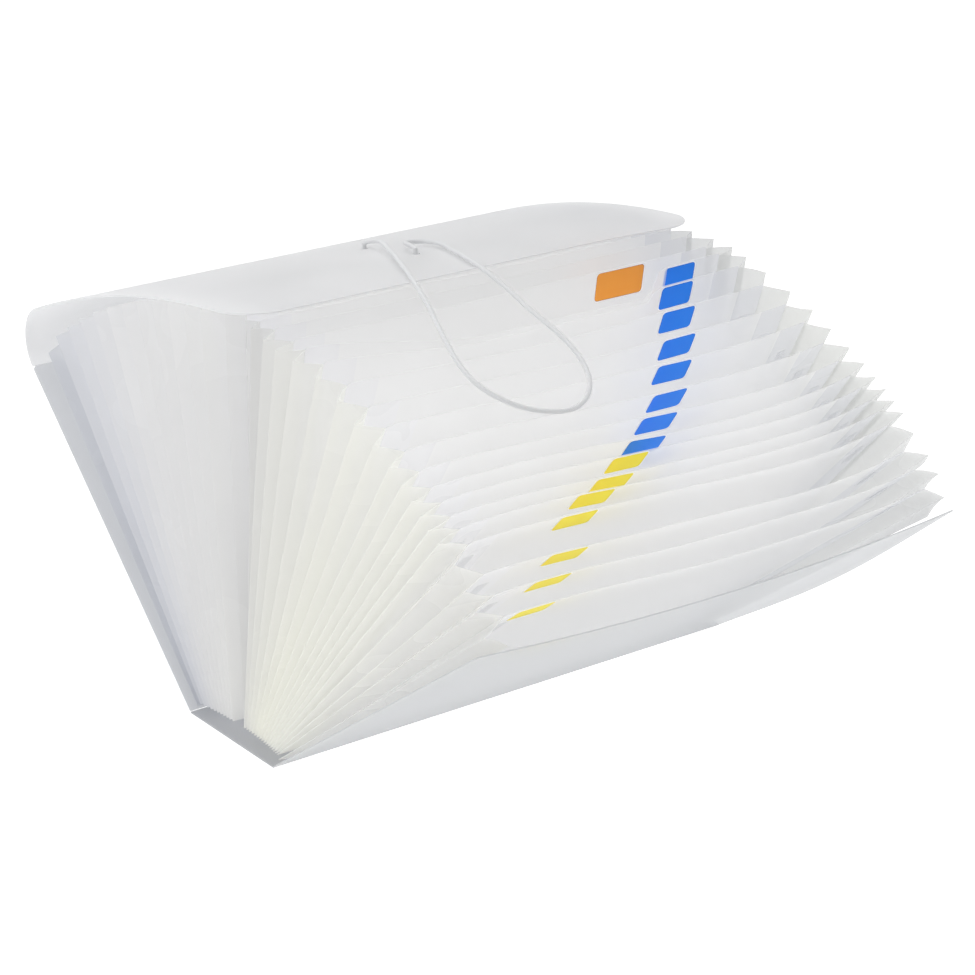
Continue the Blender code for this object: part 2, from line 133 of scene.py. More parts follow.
class Bench:
    """One mesh on the bench, shaped with Blender's own operators."""

    def __init__(self, name: str) -> None:
        """Take the object that an operator has just added.

        Args:
            name: what the piece is called.
        """
        self.item = bpy.context.active_object
        self.item.name = name
        self.item.data.name = name
        self.settle()

    @staticmethod
    def clear() -> None:
        """Leave nothing selected, so that an operator acts on the new piece alone."""
        bpy.ops.object.select_all(action="DESELECT")

    @classmethod
    def upright(
        cls, name: str, width: float, low: float, high: float,
        cells: tuple[int, int] = (1, 1), middle: float = 0.0,
    ) -> "Bench":
        """Start a sheet that stands in the XZ plane and faces the front.

        Args:
            name: the piece's name.
            width: its size along X.
            low: height of its lower edge.
            high: height of its upper edge.
            cells: how many faces it has along X and upwards.
            middle: where its middle is along X.

        Returns:
            The piece on the bench.
        """
        cls.clear()
        bpy.ops.mesh.primitive_grid_add(
            x_subdivisions=cells[0], y_subdivisions=cells[1], size=1,
            location=(middle, 0, (low + high) / 2), rotation=(math.pi / 2, 0, 0),
        )
        bpy.context.active_object.scale = (width, high - low, 1)
        return cls(name)

    @classmethod
    def rod(cls, name: str, radius: float, length: float, sides: int) -> "Bench":
        """Start a rod along X with its middle at the origin.

        Args:
            name: the piece's name.
            radius: half its thickness.
            length: its length.
            sides: how many faces go round it.

        Returns:
            The piece on the bench.
        """
        cls.clear()
        turn = (0, math.pi / 2, 0)
        bpy.ops.mesh.primitive_cylinder_add(vertices=sides, radius=radius, depth=length, rotation=turn)
        return cls(name)

    def take_up(self) -> None:
        """Select this piece alone and make it the active one."""
        self.clear()
        self.item.select_set(True)
        bpy.context.view_layer.objects.active = self.item

    def settle(self) -> None:
        """Move the object's place, turn and scale into its mesh."""
        self.take_up()
        bpy.ops.object.transform_apply(location=True, rotation=True, scale=True)

    @contextmanager
    def picked(self, test: Test, mode: str = "VERT") -> Iterator[None]:
        """Stay in edit mode with part of the mesh selected.

        Args:
            test: says for a vertex, or the middle of a face, if it is picked.
            mode: VERT or FACE.

        Returns:
            A context for the operators that shape the picked part.
        """
        self.take_up()
        bpy.ops.object.mode_set(mode="EDIT")
        bpy.ops.mesh.select_mode(type=mode)
        bpy.ops.mesh.select_all(action="DESELECT")
        shape = bmesh.from_edit_mesh(self.item.data)
        if mode == "VERT":
            for vertex in shape.verts:
                vertex.select_set(test(vertex.co))
        else:
            for face in shape.faces:
                face.select_set(test(face.calc_center_median()))
        shape.select_flush_mode()
        bmesh.update_edit_mesh(self.item.data)
        yield
        bpy.ops.object.mode_set(mode="OBJECT")

    def apply(self, kind: str, **settings: object) -> "Bench":
        """Add a modifier, set it and apply it.

        Args:
            kind: Blender's name for the modifier.
            settings: its options.

        Returns:
            The same piece.
        """
        bpy.context.view_layer.objects.active = self.item
        modifier = self.item.modifiers.new(kind.lower(), kind)
        for key, value in settings.items():
            setattr(modifier, key, value)
        bpy.ops.object.modifier_apply(modifier=modifier.name)
        return self

    def round_corners(self, radius: float, test: Test, steps: int = 5) -> "Bench":
        """Round the picked corners of a flat outline.

        Args:
            radius: the corners' radius.
            test: says which vertices are corners to round.
            steps: how many edges each round has.

        Returns:
            The same piece.
        """
        with self.picked(test):
            bpy.ops.mesh.bevel(offset=radius, segments=steps, affect="VERTICES")
        return self

    def cut_across(self, normal: tuple[float, float, float], places: Sequence[float]) -> "Bench":
        """Cut new edges where planes across one axis pass through the mesh.

        Args:
            normal: the axis that the planes are square to.
            places: where along it they lie.

        Returns:
            The same piece.
        """
        with self.picked(lambda _: True):
            for place in places:
                bpy.ops.mesh.select_all(action="SELECT")
                bpy.ops.mesh.bisect(plane_co=Vector(normal) * place, plane_no=normal)
        return self

    def push(self, direction: str, shift: Shift) -> "Bench":
        """Move the vertices along one axis by a Displace modifier with weights.

        Args:
            direction: X, Y or Z.
            shift: how far each vertex moves, in metres.

        Returns:
            The same piece.
        """
        moves = [shift(vertex.co) for vertex in self.item.data.vertices]
        low, high = min(moves), max(moves)
        if high - low > NEAR:
            group = self.item.vertex_groups.new(name="push")
            for index, move in enumerate(moves):
                group.add([index], (move - low) / (high - low), "REPLACE")
            self.apply("DISPLACE", direction=direction, strength=high - low, mid_level=0.0, vertex_group="push")
            self.item.vertex_groups.remove(self.item.vertex_groups["push"])
        axis = "XYZ".index(direction)
        self.item.location[axis] = low
        self.settle()
        return self

    def thicken(self, thickness: float, offset: float = 0.0) -> "Bench":
        """Give the sheet a wall, half on each side, or all towards -y or +y if offset is 1 or -1."""
        return self.apply("SOLIDIFY", thickness=thickness, offset=offset, use_even_offset=True)

    def lean(self, place: Matrix) -> "Bench":
        """Turn and move the upright piece to where it stands in the fan.

        Args:
            place: its turn and place.

        Returns:
            The same piece.
        """
        self.item.matrix_world = place
        self.settle()
        return self

    def map_points(self, mapping: Callable[[Vector], Vector]) -> "Bench":
        """Move every vertex by a formula, for forms that no operator gives without a window.

        Args:
            mapping: gives a vertex its new place.

        Returns:
            The same piece.
        """
        for vertex in self.item.data.vertices:
            vertex.co = mapping(vertex.co)
        self.item.data.update()
        return self

    def join(self, others: Sequence["Bench"]) -> "Bench":
        """Join other pieces into this one.

        Args:
            others: the pieces that become part of it.

        Returns:
            The same piece.
        """
        self.take_up()
        for other in others:
            other.item.select_set(True)
        bpy.ops.object.join()
        return self

    def smooth(self, degrees: float = 30.0) -> "Bench":
        """Shade smoothly, except over edges sharper than an angle.

        Args:
            degrees: that angle.

        Returns:
            The same piece.
        """
        self.take_up()
        bpy.ops.object.shade_smooth_by_angle(angle=math.radians(degrees))
        return self

    def paint(self, test: Test, slot: int) -> "Bench":
        """Give the picked faces one of the piece's materials.

        Args:
            test: says for the middle of a face if it is picked.
            slot: the material's number.

        Returns:
            The same piece.
        """
        with self.picked(test, "FACE"):
            bpy.context.object.active_material_index = slot
            bpy.ops.object.material_slot_assign()
        return self

    def dress(self, *materials: Material) -> "Bench":
        """Give the piece its materials, one for each slot.

        Args:
            materials: the finishes, in order.

        Returns:
            The same piece.
        """
        self.item.data.materials.clear()
        for material in materials:
            self.item.data.materials.append(material)
        return self

    def hand_over(self, body: str, slot: str | None = None, replaces: Sequence[str] = ()) -> Object:
        """Let the finished piece ride on its body.

        Args:
            body: the CAD body that it moves with.
            slot: the record's material slot that it takes its finish from; not used.
            replaces: the CAD nodes that it stands for.

        Returns:
            The piece's object.
        """
        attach(self.item, body)
        if replaces:
            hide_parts(*replaces)
        LOG.info("%s rides on %s, %d faces", self.item.name, body, len(self.item.data.polygons))
        return self.item


@dataclass(frozen=True)
class PlasticSheet:
    """Extruded polypropylene sheet or film, milky because its surface is sand-embossed.

    Light that falls on the back shows on the front, so a Translucent shader
    shares the surface with the lit side. The inner side of the thin wall lets
    everything through, because both faces of the wall are one film. The inner
    light stands for what the milky film passes on from sheet to sheet beyond
    the bounces that a render follows.
    """

    name: str
    colour: str
    shade: str
    glow_share: float
    clear_share: float
    roughness: float
    grain_mm: float
    grain_depth: float
    inner_light: float = 0.0
    # The fan's stops and the right-hand end's colour are painted shade, with a faint warm tone on the front
    # walls
    fan_tint_and_shade: tuple[tuple[float, str], ...] = ()
    right_end_shade: str | None = None
    ior: float = 1.49
    cloud_size: float = 0.060
    rough_spread: float = 0.06
    end_fade: float = 0.02
    fan_depth: float = 0.037

    def material(self) -> Material:
        """Build the sheet's material.

        Returns:
            The material.
        """
        made, tree = start_material(self.name)
        place = add_node(tree, "TexCoord").outputs["Object"]
        # Slow changes of tone over 60 mm, as the film's thickness and the light behind it vary
        clouds = add_node(
            tree, "TexNoise", {"Vector": place, "Scale": 1 / self.cloud_size, "Detail": 1.0}
        ).outputs["Fac"]
        dark, pale = linear(self.shade), linear(self.colour)
        tone = add_node(
            tree, "Mix", {"Factor": clouds, "A": dark, "B": pale}, data_type="RGBA"
        ).outputs["Result"]
        tone = self.tinted_and_shaded(tree, place, tone)
        # The emboss is finer than a pixel, so it is drawn at the size given for it
        grain = add_node(
            tree, "TexNoise", {"Vector": place, "Scale": 1000 / self.grain_mm, "Detail": 0.0}
        ).outputs["Fac"]
        # Draw lines of the extruder run up the sheet, about 4 mm apart
        squeezed = add_node(tree, "Mapping", {"Vector": place, "Scale": (250.0, 250.0, 12.0)}).outputs["Vector"]
        lines = add_node(tree, "TexNoise", {"Vector": squeezed, "Scale": 1.0, "Detail": 0.0}).outputs["Fac"]
        relief = add_node(tree, "Math", {0: grain, 1: lines}, operation="ADD").outputs["Value"]
        bump = add_node(
            tree, "Bump", {"Height": relief, "Strength": 0.35, "Distance": self.grain_depth}
        ).outputs["Normal"]
        low, high = self.roughness - self.rough_spread, self.roughness + self.rough_spread
        span = {"From Min": 0.3, "From Max": 0.7, "To Min": low, "To Max": high}
        rough = add_node(tree, "MapRange", {"Value": clouds, **span}).outputs["Result"]
        face = add_node(
            tree,
            "BsdfPrincipled",
            {"Base Color": tone, "Roughness": rough, "Normal": bump, "IOR": self.ior,
             "Emission Color": tone, "Emission Strength": self.inner_light},
        ).outputs["BSDF"]
        glow = add_node(tree, "BsdfTranslucent", {"Color": tone}).outputs["BSDF"]
        lit = add_node(tree, "MixShader", {"Fac": self.glow_share, 1: face, 2: glow}).outputs["Shader"]
        clear = add_node(tree, "BsdfTransparent", {"Color": (1, 1, 1, 1)}).outputs["BSDF"]
        seen = add_node(tree, "MixShader", {"Fac": self.clear_share, 1: lit, 2: clear}).outputs["Shader"]
        inside = add_node(tree, "NewGeometry").outputs["Backfacing"]
        whole = add_node(tree, "MixShader", {"Fac": inside, 1: seen, 2: clear}).outputs["Shader"]
        add_node(tree, "OutputMaterial", {"Surface": whole})
        return made

    def tinted_and_shaded(self, tree: NodeTree, place: NodeSocket, tone: NodeSocket) -> NodeSocket:
        """Darken the tone as painted shade round the fan and towards its right-hand end, where such shade is
        given.

        Args:
            tree: the material's node tree.
            place: the Object coordinates.
            tone: the sheet's own colour.

        Returns:
            The colour output to use.
        """
        split = add_node(tree, "SeparateXYZ", {"Vector": place})
        # The right-hand end is painted a shade darker
        if self.right_end_shade:
            span = {"From Min": -self.end_fade, "From Max": self.end_fade}
            end = add_node(tree, "MapRange", {"Value": split.outputs["X"], **span}).outputs["Result"]
            tone = add_node(
                tree, "Mix", {"Factor": end, "A": tone, "B": linear(self.right_end_shade)}, data_type="RGBA",
                blend_type="MULTIPLY",
            ).outputs["Result"]
        if not self.fan_tint_and_shade:
            return tone
        # The fan's lines meet 37 mm under the table. A line's slope is y over the height above that
        height = add_node(tree, "Math", {0: split.outputs["Z"], 1: self.fan_depth}, operation="ADD").outputs[0]
        slope = add_node(tree, "Math", {0: split.outputs["Y"], 1: height}, operation="DIVIDE").outputs[0]
        # The stops paint shade: darker in the fold beside the upright sheet and darkest low by the back cover
        low, high = self.fan_tint_and_shade[0][0], self.fan_tint_and_shade[-1][0]
        share = add_node(
            tree, "MapRange", {"Value": slope, "From Min": low, "From Max": high}
        ).outputs["Result"]
        ramp = add_node(tree, "ValToRGB", {"Fac": share})
        stops = ramp.color_ramp.elements
        for number, (spot, fan_tone) in enumerate(self.fan_tint_and_shade):
            part = (spot - low) / (high - low)
            stop = stops[number] if number in (0, 1) else stops.new(part)
            stop.position = part
            stop.color = linear(fan_tone)
        fan_tone = ramp.outputs["Color"]
        return add_node(
            tree, "Mix", {"Factor": 1.0, "A": tone, "B": fan_tone}, data_type="RGBA", blend_type="MULTIPLY"
        ).outputs["Result"]


@dataclass(frozen=True)
class PrintedLabel:
    """Coloured label printed on film: even ink with a faint grain and a soft satin shine.

    The inner light stands for what comes through the card from the milky sheets behind it.
    """

    name: str
    colour: str
    shade: str
    inner_light: float = 0.15
    roughness: float = 0.42
    gloss: float = 0.3

    def material(self) -> Material:
        """Build the label's material.

        Returns:
            The material.
        """
        made, tree = start_material(self.name)
        place = add_node(tree, "TexCoord").outputs["Object"]
        # Ink density drifts over some 9 mm, and the film under it has a 0.5 mm grain
        drift = add_node(tree, "TexNoise", {"Vector": place, "Scale": 1 / 0.009, "Detail": 4.0}).outputs["Fac"]
        dark, pale = linear(self.shade), linear(self.colour)
        ink = add_node(tree, "Mix", {"Factor": drift, "A": dark, "B": pale}, data_type="RGBA").outputs["Result"]
        grain = add_node(tree, "TexNoise", {"Vector": place, "Scale": 1 / 0.0005, "Detail": 2.0}).outputs["Fac"]
        bump = add_node(tree, "Bump", {"Height": grain, "Strength": 0.2, "Distance": 0.00004}).outputs["Normal"]
        face = add_node(
            tree,
            "BsdfPrincipled",
            {"Base Color": ink, "Roughness": self.roughness, "Normal": bump,
             "Specular IOR Level": self.gloss, "Emission Color": ink,
             "Emission Strength": self.inner_light},
        ).outputs["BSDF"]
        add_node(tree, "OutputMaterial", {"Surface": face})
        return made


@dataclass(frozen=True)
class BraidedElastic:
    """Round braided elastic: a rubber core in a polyester braid, which shows small slanted picks."""

    name: str
    colour: str
    shade: str
    pick_mm: float
    length: float
    girth: float
    roughness: float = 0.72
    sheen: float = 0.25

    def material(self) -> Material:
        """Build the cord's material, whose braid follows the tube's own UV map.

        Returns:
            The material.
        """
        made, tree = start_material(self.name)
        # The picks are about 1 mm long, counted along the cord and round it
        turn = 2 * math.pi
        along = self.length / (self.pick_mm / 1000) * turn
        around = round(self.girth / (self.pick_mm / 1000)) * turn
        unwrapped = add_node(tree, "UVMap", uv_map="UVMap").outputs["UV"]
        split = add_node(tree, "SeparateXYZ", {"Vector": unwrapped})
        waves = []
        for sign in (1, -1):
            first = add_node(tree, "Math", {0: split.outputs["X"], 1: along}, operation="MULTIPLY").outputs[0]
            second = add_node(
                tree, "Math", {0: split.outputs["Y"], 1: sign * around}, operation="MULTIPLY"
            ).outputs[0]
            both = add_node(tree, "Math", {0: first, 1: second}, operation="ADD").outputs[0]
            waves.append(add_node(tree, "Math", {0: both}, operation="SINE").outputs[0])
        braid = add_node(tree, "Math", {0: waves[0], 1: waves[1]}, operation="MAXIMUM").outputs[0]
        share = add_node(
            tree, "MapRange", {"Value": braid, "From Min": -0.4, "From Max": 1.0}
        ).outputs["Result"]
        dark, pale = linear(self.shade), linear(self.colour)
        yarn = add_node(
            tree, "Mix", {"Factor": share, "A": dark, "B": pale}, data_type="RGBA"
        ).outputs["Result"]
        bump = add_node(tree, "Bump", {"Height": share, "Strength": 0.6, "Distance": 0.00015}).outputs["Normal"]
        face = add_node(
            tree,
            "BsdfPrincipled",
            {"Base Color": yarn, "Roughness": self.roughness, "Normal": bump, "Sheen Weight": self.sheen},
        ).outputs["BSDF"]
        add_node(tree, "OutputMaterial", {"Surface": face})
        return made


@dataclass(frozen=True)
class PlatedSteel:
    """Nickel-plated steel bar, pressed and tumbled: bright, with fine scratches along it."""

    name: str
    colour: str
    shade: str

    def material(self) -> Material:
        """Build the metal.

        Returns:
            The material.
        """
        made, tree = start_material(self.name)
        place = add_node(tree, "TexCoord").outputs["Object"]
        # The scratches are about 3 mm long and 0.25 mm apart
        drawn = add_node(tree, "Mapping", {"Vector": place, "Scale": (300.0, 4000.0, 4000.0)}).outputs["Vector"]
        marks = add_node(tree, "TexNoise", {"Vector": drawn, "Scale": 1.0, "Detail": 2.0}).outputs["Fac"]
        rough = add_node(tree, "MapRange", {"Value": marks, "To Min": 0.22, "To Max": 0.42}).outputs["Result"]
        bump = add_node(tree, "Bump", {"Height": marks, "Strength": 0.2, "Distance": 0.00003}).outputs["Normal"]
        dark, pale = linear(self.shade), linear(self.colour)
        tone = add_node(
            tree, "Mix", {"Factor": marks, "A": dark, "B": pale}, data_type="RGBA"
        ).outputs["Result"]
        face = add_node(
            tree, "BsdfPrincipled", {"Base Color": tone, "Metallic": 1.0, "Roughness": rough, "Normal": bump}
        ).outputs["BSDF"]
        add_node(tree, "OutputMaterial", {"Surface": face})
        return made


class Ink(Enum):
    """The label colours, from the back pockets to the front ones."""

    BLANK = "blank"
    ORANGE = "orange"
    BLUE = "blue"
    YELLOW = "yellow"


class Wardrobe:
    """Every finish of the folder, made once."""

    def __init__(self, cord_length: float, cord_girth: float) -> None:
        """Build the materials.

        Args:
            cord_length: the cord's length, which its braid is counted along.
            cord_girth: the distance round the cord.
        """
        # The covers, bend, flap and spine are one embossed board in lit and shaded copies: the flap and bend
        # painted lighter, the front cover greyer in painted shade, the back cover and spine darker still in
        # painted shade
        self.board = PlasticSheet(
            "embossed_polypropylene_board_painted_shade", "#D9DBDD", "#CFD1D4", 0.42, 0.16, 0.34, 0.9, 0.00005
        ).material()
        self.flap = PlasticSheet(
            "embossed_polypropylene_flap_painted_light", "#F2F2F3", "#EBECED", 0.40, 0.03, 0.34, 0.9, 0.00005, 0.06
        ).material()
        self.back = PlasticSheet(
            "embossed_polypropylene_back_painted_shade", "#D0D2D6", "#C8CACE", 0.36, 0.12, 0.34, 0.9, 0.00005
        ).material()
        self.spine = PlasticSheet(
            "embossed_polypropylene_spine_painted_shade", "#B5B7BB", "#ACAEB2", 0.30, 0.05, 0.34, 0.9, 0.00005
        ).material()
        self.sheet = PlasticSheet(
            "milky_polypropylene_film", "#DCDCDC", "#D8D8D8", 0.50, 0.34, 0.38, 0.8, 0.00003, 0.66
        ).material()
        # The gusset's fan stops and right-hand end carry painted shade
        self.gusset = PlasticSheet(
            "folded_polypropylene_film", "#E2E2E2", "#DEDEDF", 0.52, 0.22, 0.26, 0.8, 0.00003, 0.50,
            (
                (-1.40, "#F4F4F2"), (-0.90, "#FFFFFB"), (-0.45, "#FFFFF9"), (-0.16, "#F9F9F6"),
                (-0.03, "#ECECEB"), (0.10, "#FBFBFA"), (0.50, "#FAFAFA"), (0.82, "#F3F4F7"),
                (1.00, "#E4E6EB"), (1.10, "#CED1D8"), (1.20, "#AEB2BB"),
            ),
            "#F2F3F5",
        ).material()
        # The weld band's right-hand end is painted a shade darker
        self.weld = PlasticSheet(
            "heat_welded_band", "#DBDBDD", "#D7D7D9", 0.50, 0.34, 0.26, 0.6, 0.00004, 0.68,
            right_end_shade="#F1F2F4",
        ).material()
        self.pressed = PlasticSheet(
            "heat_pressed_mark", "#DADBDD", "#D5D6D9", 0.46, 0.20, 0.20, 0.6, 0.00004, 0.30
        ).material()
        self.border = PlasticSheet(
            "clear_label_border", "#FCFCFC", "#F8F8F9", 0.40, 0.05, 0.25, 0.7, 0.00003, 0.12
        ).material()
        self.inks = {
            Ink.BLANK: PrintedLabel("blank_label_card", "#F3F3F1", "#EEEEEC").material(),
            Ink.ORANGE: PrintedLabel("orange_label_print", "#F29F3E", "#EA9536", 0.22).material(),
            Ink.BLUE: PrintedLabel("blue_label_print", "#1484F6", "#107CEE").material(),
            Ink.YELLOW: PrintedLabel("yellow_label_print", "#F9E830", "#F0DE2A").material(),
        }
        self.rims = {
            Ink.BLANK: PrintedLabel("blank_label_rim", "#E6E6E6", "#E1E1E2").material(),
            Ink.ORANGE: PrintedLabel("orange_label_rim", "#D28A3C", "#CA8236").material(),
            Ink.BLUE: PrintedLabel("blue_label_rim", "#2076DA", "#1E70CE").material(),
            Ink.YELLOW: PrintedLabel("yellow_label_rim", "#E8D838", "#DED034").material(),
        }
        self.elastic = BraidedElastic(
            "light_grey_braided_elastic", "#F5F6F7", "#DBDCDF", 1.1, cord_length, cord_girth
        ).material()
        self.metal = PlatedSteel("nickel_plated_steel", "#C9C8C5", "#9A9B9C").material()


@dataclass(frozen=True)
class FanPlan:
    """Where the covers and dividers stand, with the CAD's own sizes."""

    cover_length: float = 0.330
    cover_height: float = 0.240
    spine_width: float = 0.0892
    board: float = 0.0008
    front_lean: float = math.radians(54.6)
    back_lean: float = math.radians(46.0)
    fit_gap: float = 0.0003
    pockets: int = 32
    upright: int = 13
    divider_width: float = 0.290
    divider_height: float = 0.245
    spine_margin: float = 0.0004
    foot_height: float = 0.005
    foot_arch: float = 0.003
    crowding: float = 0.43
    gusset_foot: float = 0.0015
    gusset_drop: float = 0.001
    lean_shares: tuple[float, ...] = (
        0.045, 0.095, 0.163, 0.200, 0.266, 0.352, 0.432, 0.496, 0.566,
        0.621, 0.663, 0.698, 0.731, 0.760, 0.795, 0.864, 0.910, 0.956,
    )

    def lean(self, pocket: int) -> float:
        """Return the forward lean of a sheet, counted from the back cover.

        Args:
            pocket: the sheet's number from the back.

        Returns:
            The lean in radians, less than 0 for the rear sheets.
        """
        if pocket == self.pockets:
            return self.front_lean
        if pocket <= self.upright:
            return -self.back_lean * (1 - pocket / self.upright)
        return self.front_lean * self.lean_shares[pocket - self.upright - 1]

    def foot(self, pocket: int) -> Vector:
        """Return the fold line of a sheet or of a cover's inner face.

        Args:
            pocket: the sheet's number from the back.

        Returns:
            The fold line's place, with x = 0.
        """
        if pocket in (0, self.pockets):
            side = 1 if pocket == 0 else -1
            inset = side * (self.board + self.fit_gap)
            lean = self.lean(pocket)
            corner = Vector((0, side * self.spine_width / 2, 0))
            return corner + Vector((0, -math.cos(lean), -math.sin(lean))) * inset
        share = pocket / self.pockets
        crowded = share * (1 + self.crowding * (1 - share))
        y = (self.spine_width / 2 - self.spine_margin) * (1 - 2 * crowded)
        return Vector((0, y, self.foot_height + self.foot_arch * math.sin(math.pi * share)))

    def normal(self, pocket: int) -> Vector:
        """Return the direction square to a sheet, towards the back."""
        lean = self.lean(pocket)
        return Vector((0, math.cos(lean), math.sin(lean)))

    def stand(self, pocket: int) -> Matrix:
        """Return the matrix that leans an upright sheet into the fan."""
        return Matrix.Translation(self.foot(pocket)) @ Matrix.Rotation(self.lean(pocket), 4, "X")

    def reach(self, pocket: int) -> float:
        """Return how high a sheet's gusset goes along it."""
        high = self.cover_height if pocket in (0, self.pockets) else self.divider_height
        return high - self.gusset_drop

    def body(self, pocket: int) -> str:
        """Return the body that a sheet belongs to.

        Args:
            pocket: the sheet's number from the back.

        Returns:
            The body's name.
        """
        if pocket == 0:
            return "back_cover"
        if pocket == self.pockets:
            return "front_cover"
        if pocket == self.upright:
            return "spine"
        return f"pocket_wall_{pocket:02d}"

    def line(self, foot: Vector, lean: float, height: float) -> Vector:
        """Return a point at a height along a leaning line."""
        return foot + Vector((0, -math.sin(lean), math.cos(lean))) * height

    def edge_point(self, index: int, height_share: float) -> Vector:
        """Return a point on a gusset fold line, the even ones on sheets and the odd ones between.

        Args:
            index: the fold line's number from the back.
            height_share: 0 at the gusset's lower end and 1 at its top.

        Returns:
            The point in the plane of the fan, with x = 0.
        """
        first, second = index // 2, (index + 1) // 2
        foot = (self.foot(first) + self.foot(second)) / 2
        lean = (self.lean(first) + self.lean(second)) / 2
        low, high = self.gusset_foot, (self.reach(first) + self.reach(second)) / 2
        return self.line(foot, lean, low + (high - low) * height_share)

    def closed_share(self, pocket: int) -> float:
        """Return how thin the space beside a sheet gets in the closed folder, as a share of now.

        Args:
            pocket: the sheet's number from the back.

        Returns:
            The share, of the narrower of the two spaces.
        """
        shares = []
        for step in (-1, 1):
            other = pocket + step
            if 0 <= other <= self.pockets:
                open_gap = (self.edge_point(2 * pocket, 1) - self.edge_point(2 * other, 1)).length
                closed_gap = abs(self.foot(pocket).y - self.foot(other).y)
                shares.append(closed_gap / open_gap)
        return min(shares)

    def let_flatten(self, made: Object, pocket: int) -> None:
        """Give a piece its own copy of its mesh; how far it would have to flatten as the folder closes is
        worked out but not used.
        """
        keep = self.closed_share(pocket) * CLOSED_SLACK
        self.normal(pocket)
        self.foot(pocket)
        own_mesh(made)


@dataclass(frozen=True)
class Bow:
    """How a sheet stands out of its plane: not at all at its foot and sides, most at its top."""

    swell: float
    sway: float
    slump: float
    ripple: float
    phase: float
    half_width: float
    height: float
    power: float = 1.5
    ripple_rate: float = 5.3
    slump_to: tuple[float, float] = (0.062, 0.104)
    slump_from: float = -0.040

    def __call__(self, place: Vector) -> float:
        """Return how far the sheet stands towards the back at a place on it.

        Args:
            place: a point of the upright sheet.

        Returns:
            The distance in metres.
        """
        s = max(-1.0, min(1.0, place.x / self.half_width))
        rise = max(0.0, min(1.0, place.z / self.height))
        even = (1 - s * s) * (self.swell + self.sway * s)
        waves = self.ripple * (1 - s * s) * math.sin(self.ripple_rate * s + self.phase)
        rising = smooth_step(-self.half_width, self.slump_from, place.x)
        held = rising * (1 - smooth_step(*self.slump_to, place.x))
        return (even + waves) * rise ** self.power - self.slump * held * rise * rise


@dataclass
class BowPlan:
    """The bow of every sheet, each close to its neighbours' so that they nest.

    Some sheets slump further forward beside the last large label, which stands free over them.
    Each slump has a depth, and the places along X between which it fades away. The pairs of
    whole numbers are the sheets between which a change comes in.
    """

    plan: FanPlan
    forward_swell: float = 0.0040
    rear_swell: float = 0.0025
    forward_sway: float = 0.0090
    ripple: float = 0.0006
    spread: float = 0.0006
    seed: int = 5
    slumps: dict[int, tuple[float, float, float]] = field(
        default_factory=lambda: {
            17: (0.026, 0.062, 0.104), 18: (0.0115, 0.062, 0.083), 19: (0.002, 0.040, 0.070)
        }
    )
    no_slump: tuple[float, float, float] = (0.0, 0.062, 0.083)
    rear_until: tuple[int, int] = (3, 12)
    forward_from: tuple[int, int] = (12, 20)
    sway_from: tuple[int, int] = (18, 24)
    sway_eases: tuple[int, int] = (27, 31)
    sway_eased: float = 0.5
    phases: list[float] = field(init=False)
    extras: list[float] = field(init=False)

    def __post_init__(self) -> None:
        """Draw the small differences, the same each time."""
        draw = random.Random(self.seed)
        count = self.plan.pockets + 1
        self.phases = [draw.uniform(0, 2 * math.pi) for _ in range(count)]
        self.extras = [draw.uniform(-self.spread, self.spread) for _ in range(count)]

    def of(self, pocket: int) -> Bow:
        """Return one sheet's bow. The front sheets swell forwards, the rear ones lie back a little.

        Args:
            pocket: the sheet's number from the back.

        Returns:
            Its bow.
        """
        forward = smooth_step(*self.forward_from, pocket)
        back = 1 - smooth_step(*self.rear_until, pocket)
        swell = -self.forward_swell * forward + self.rear_swell * back + self.extras[pocket]
        eased = 1 - self.sway_eased * smooth_step(*self.sway_eases, pocket)
        sway = -self.forward_sway * smooth_step(*self.sway_from, pocket) * eased
        slump, *ends = self.slumps.get(pocket, self.no_slump)
        half, high = self.plan.divider_width / 2, self.plan.divider_height
        return Bow(swell, sway, slump, self.ripple, self.phases[pocket], half, high, slump_to=tuple(ends))


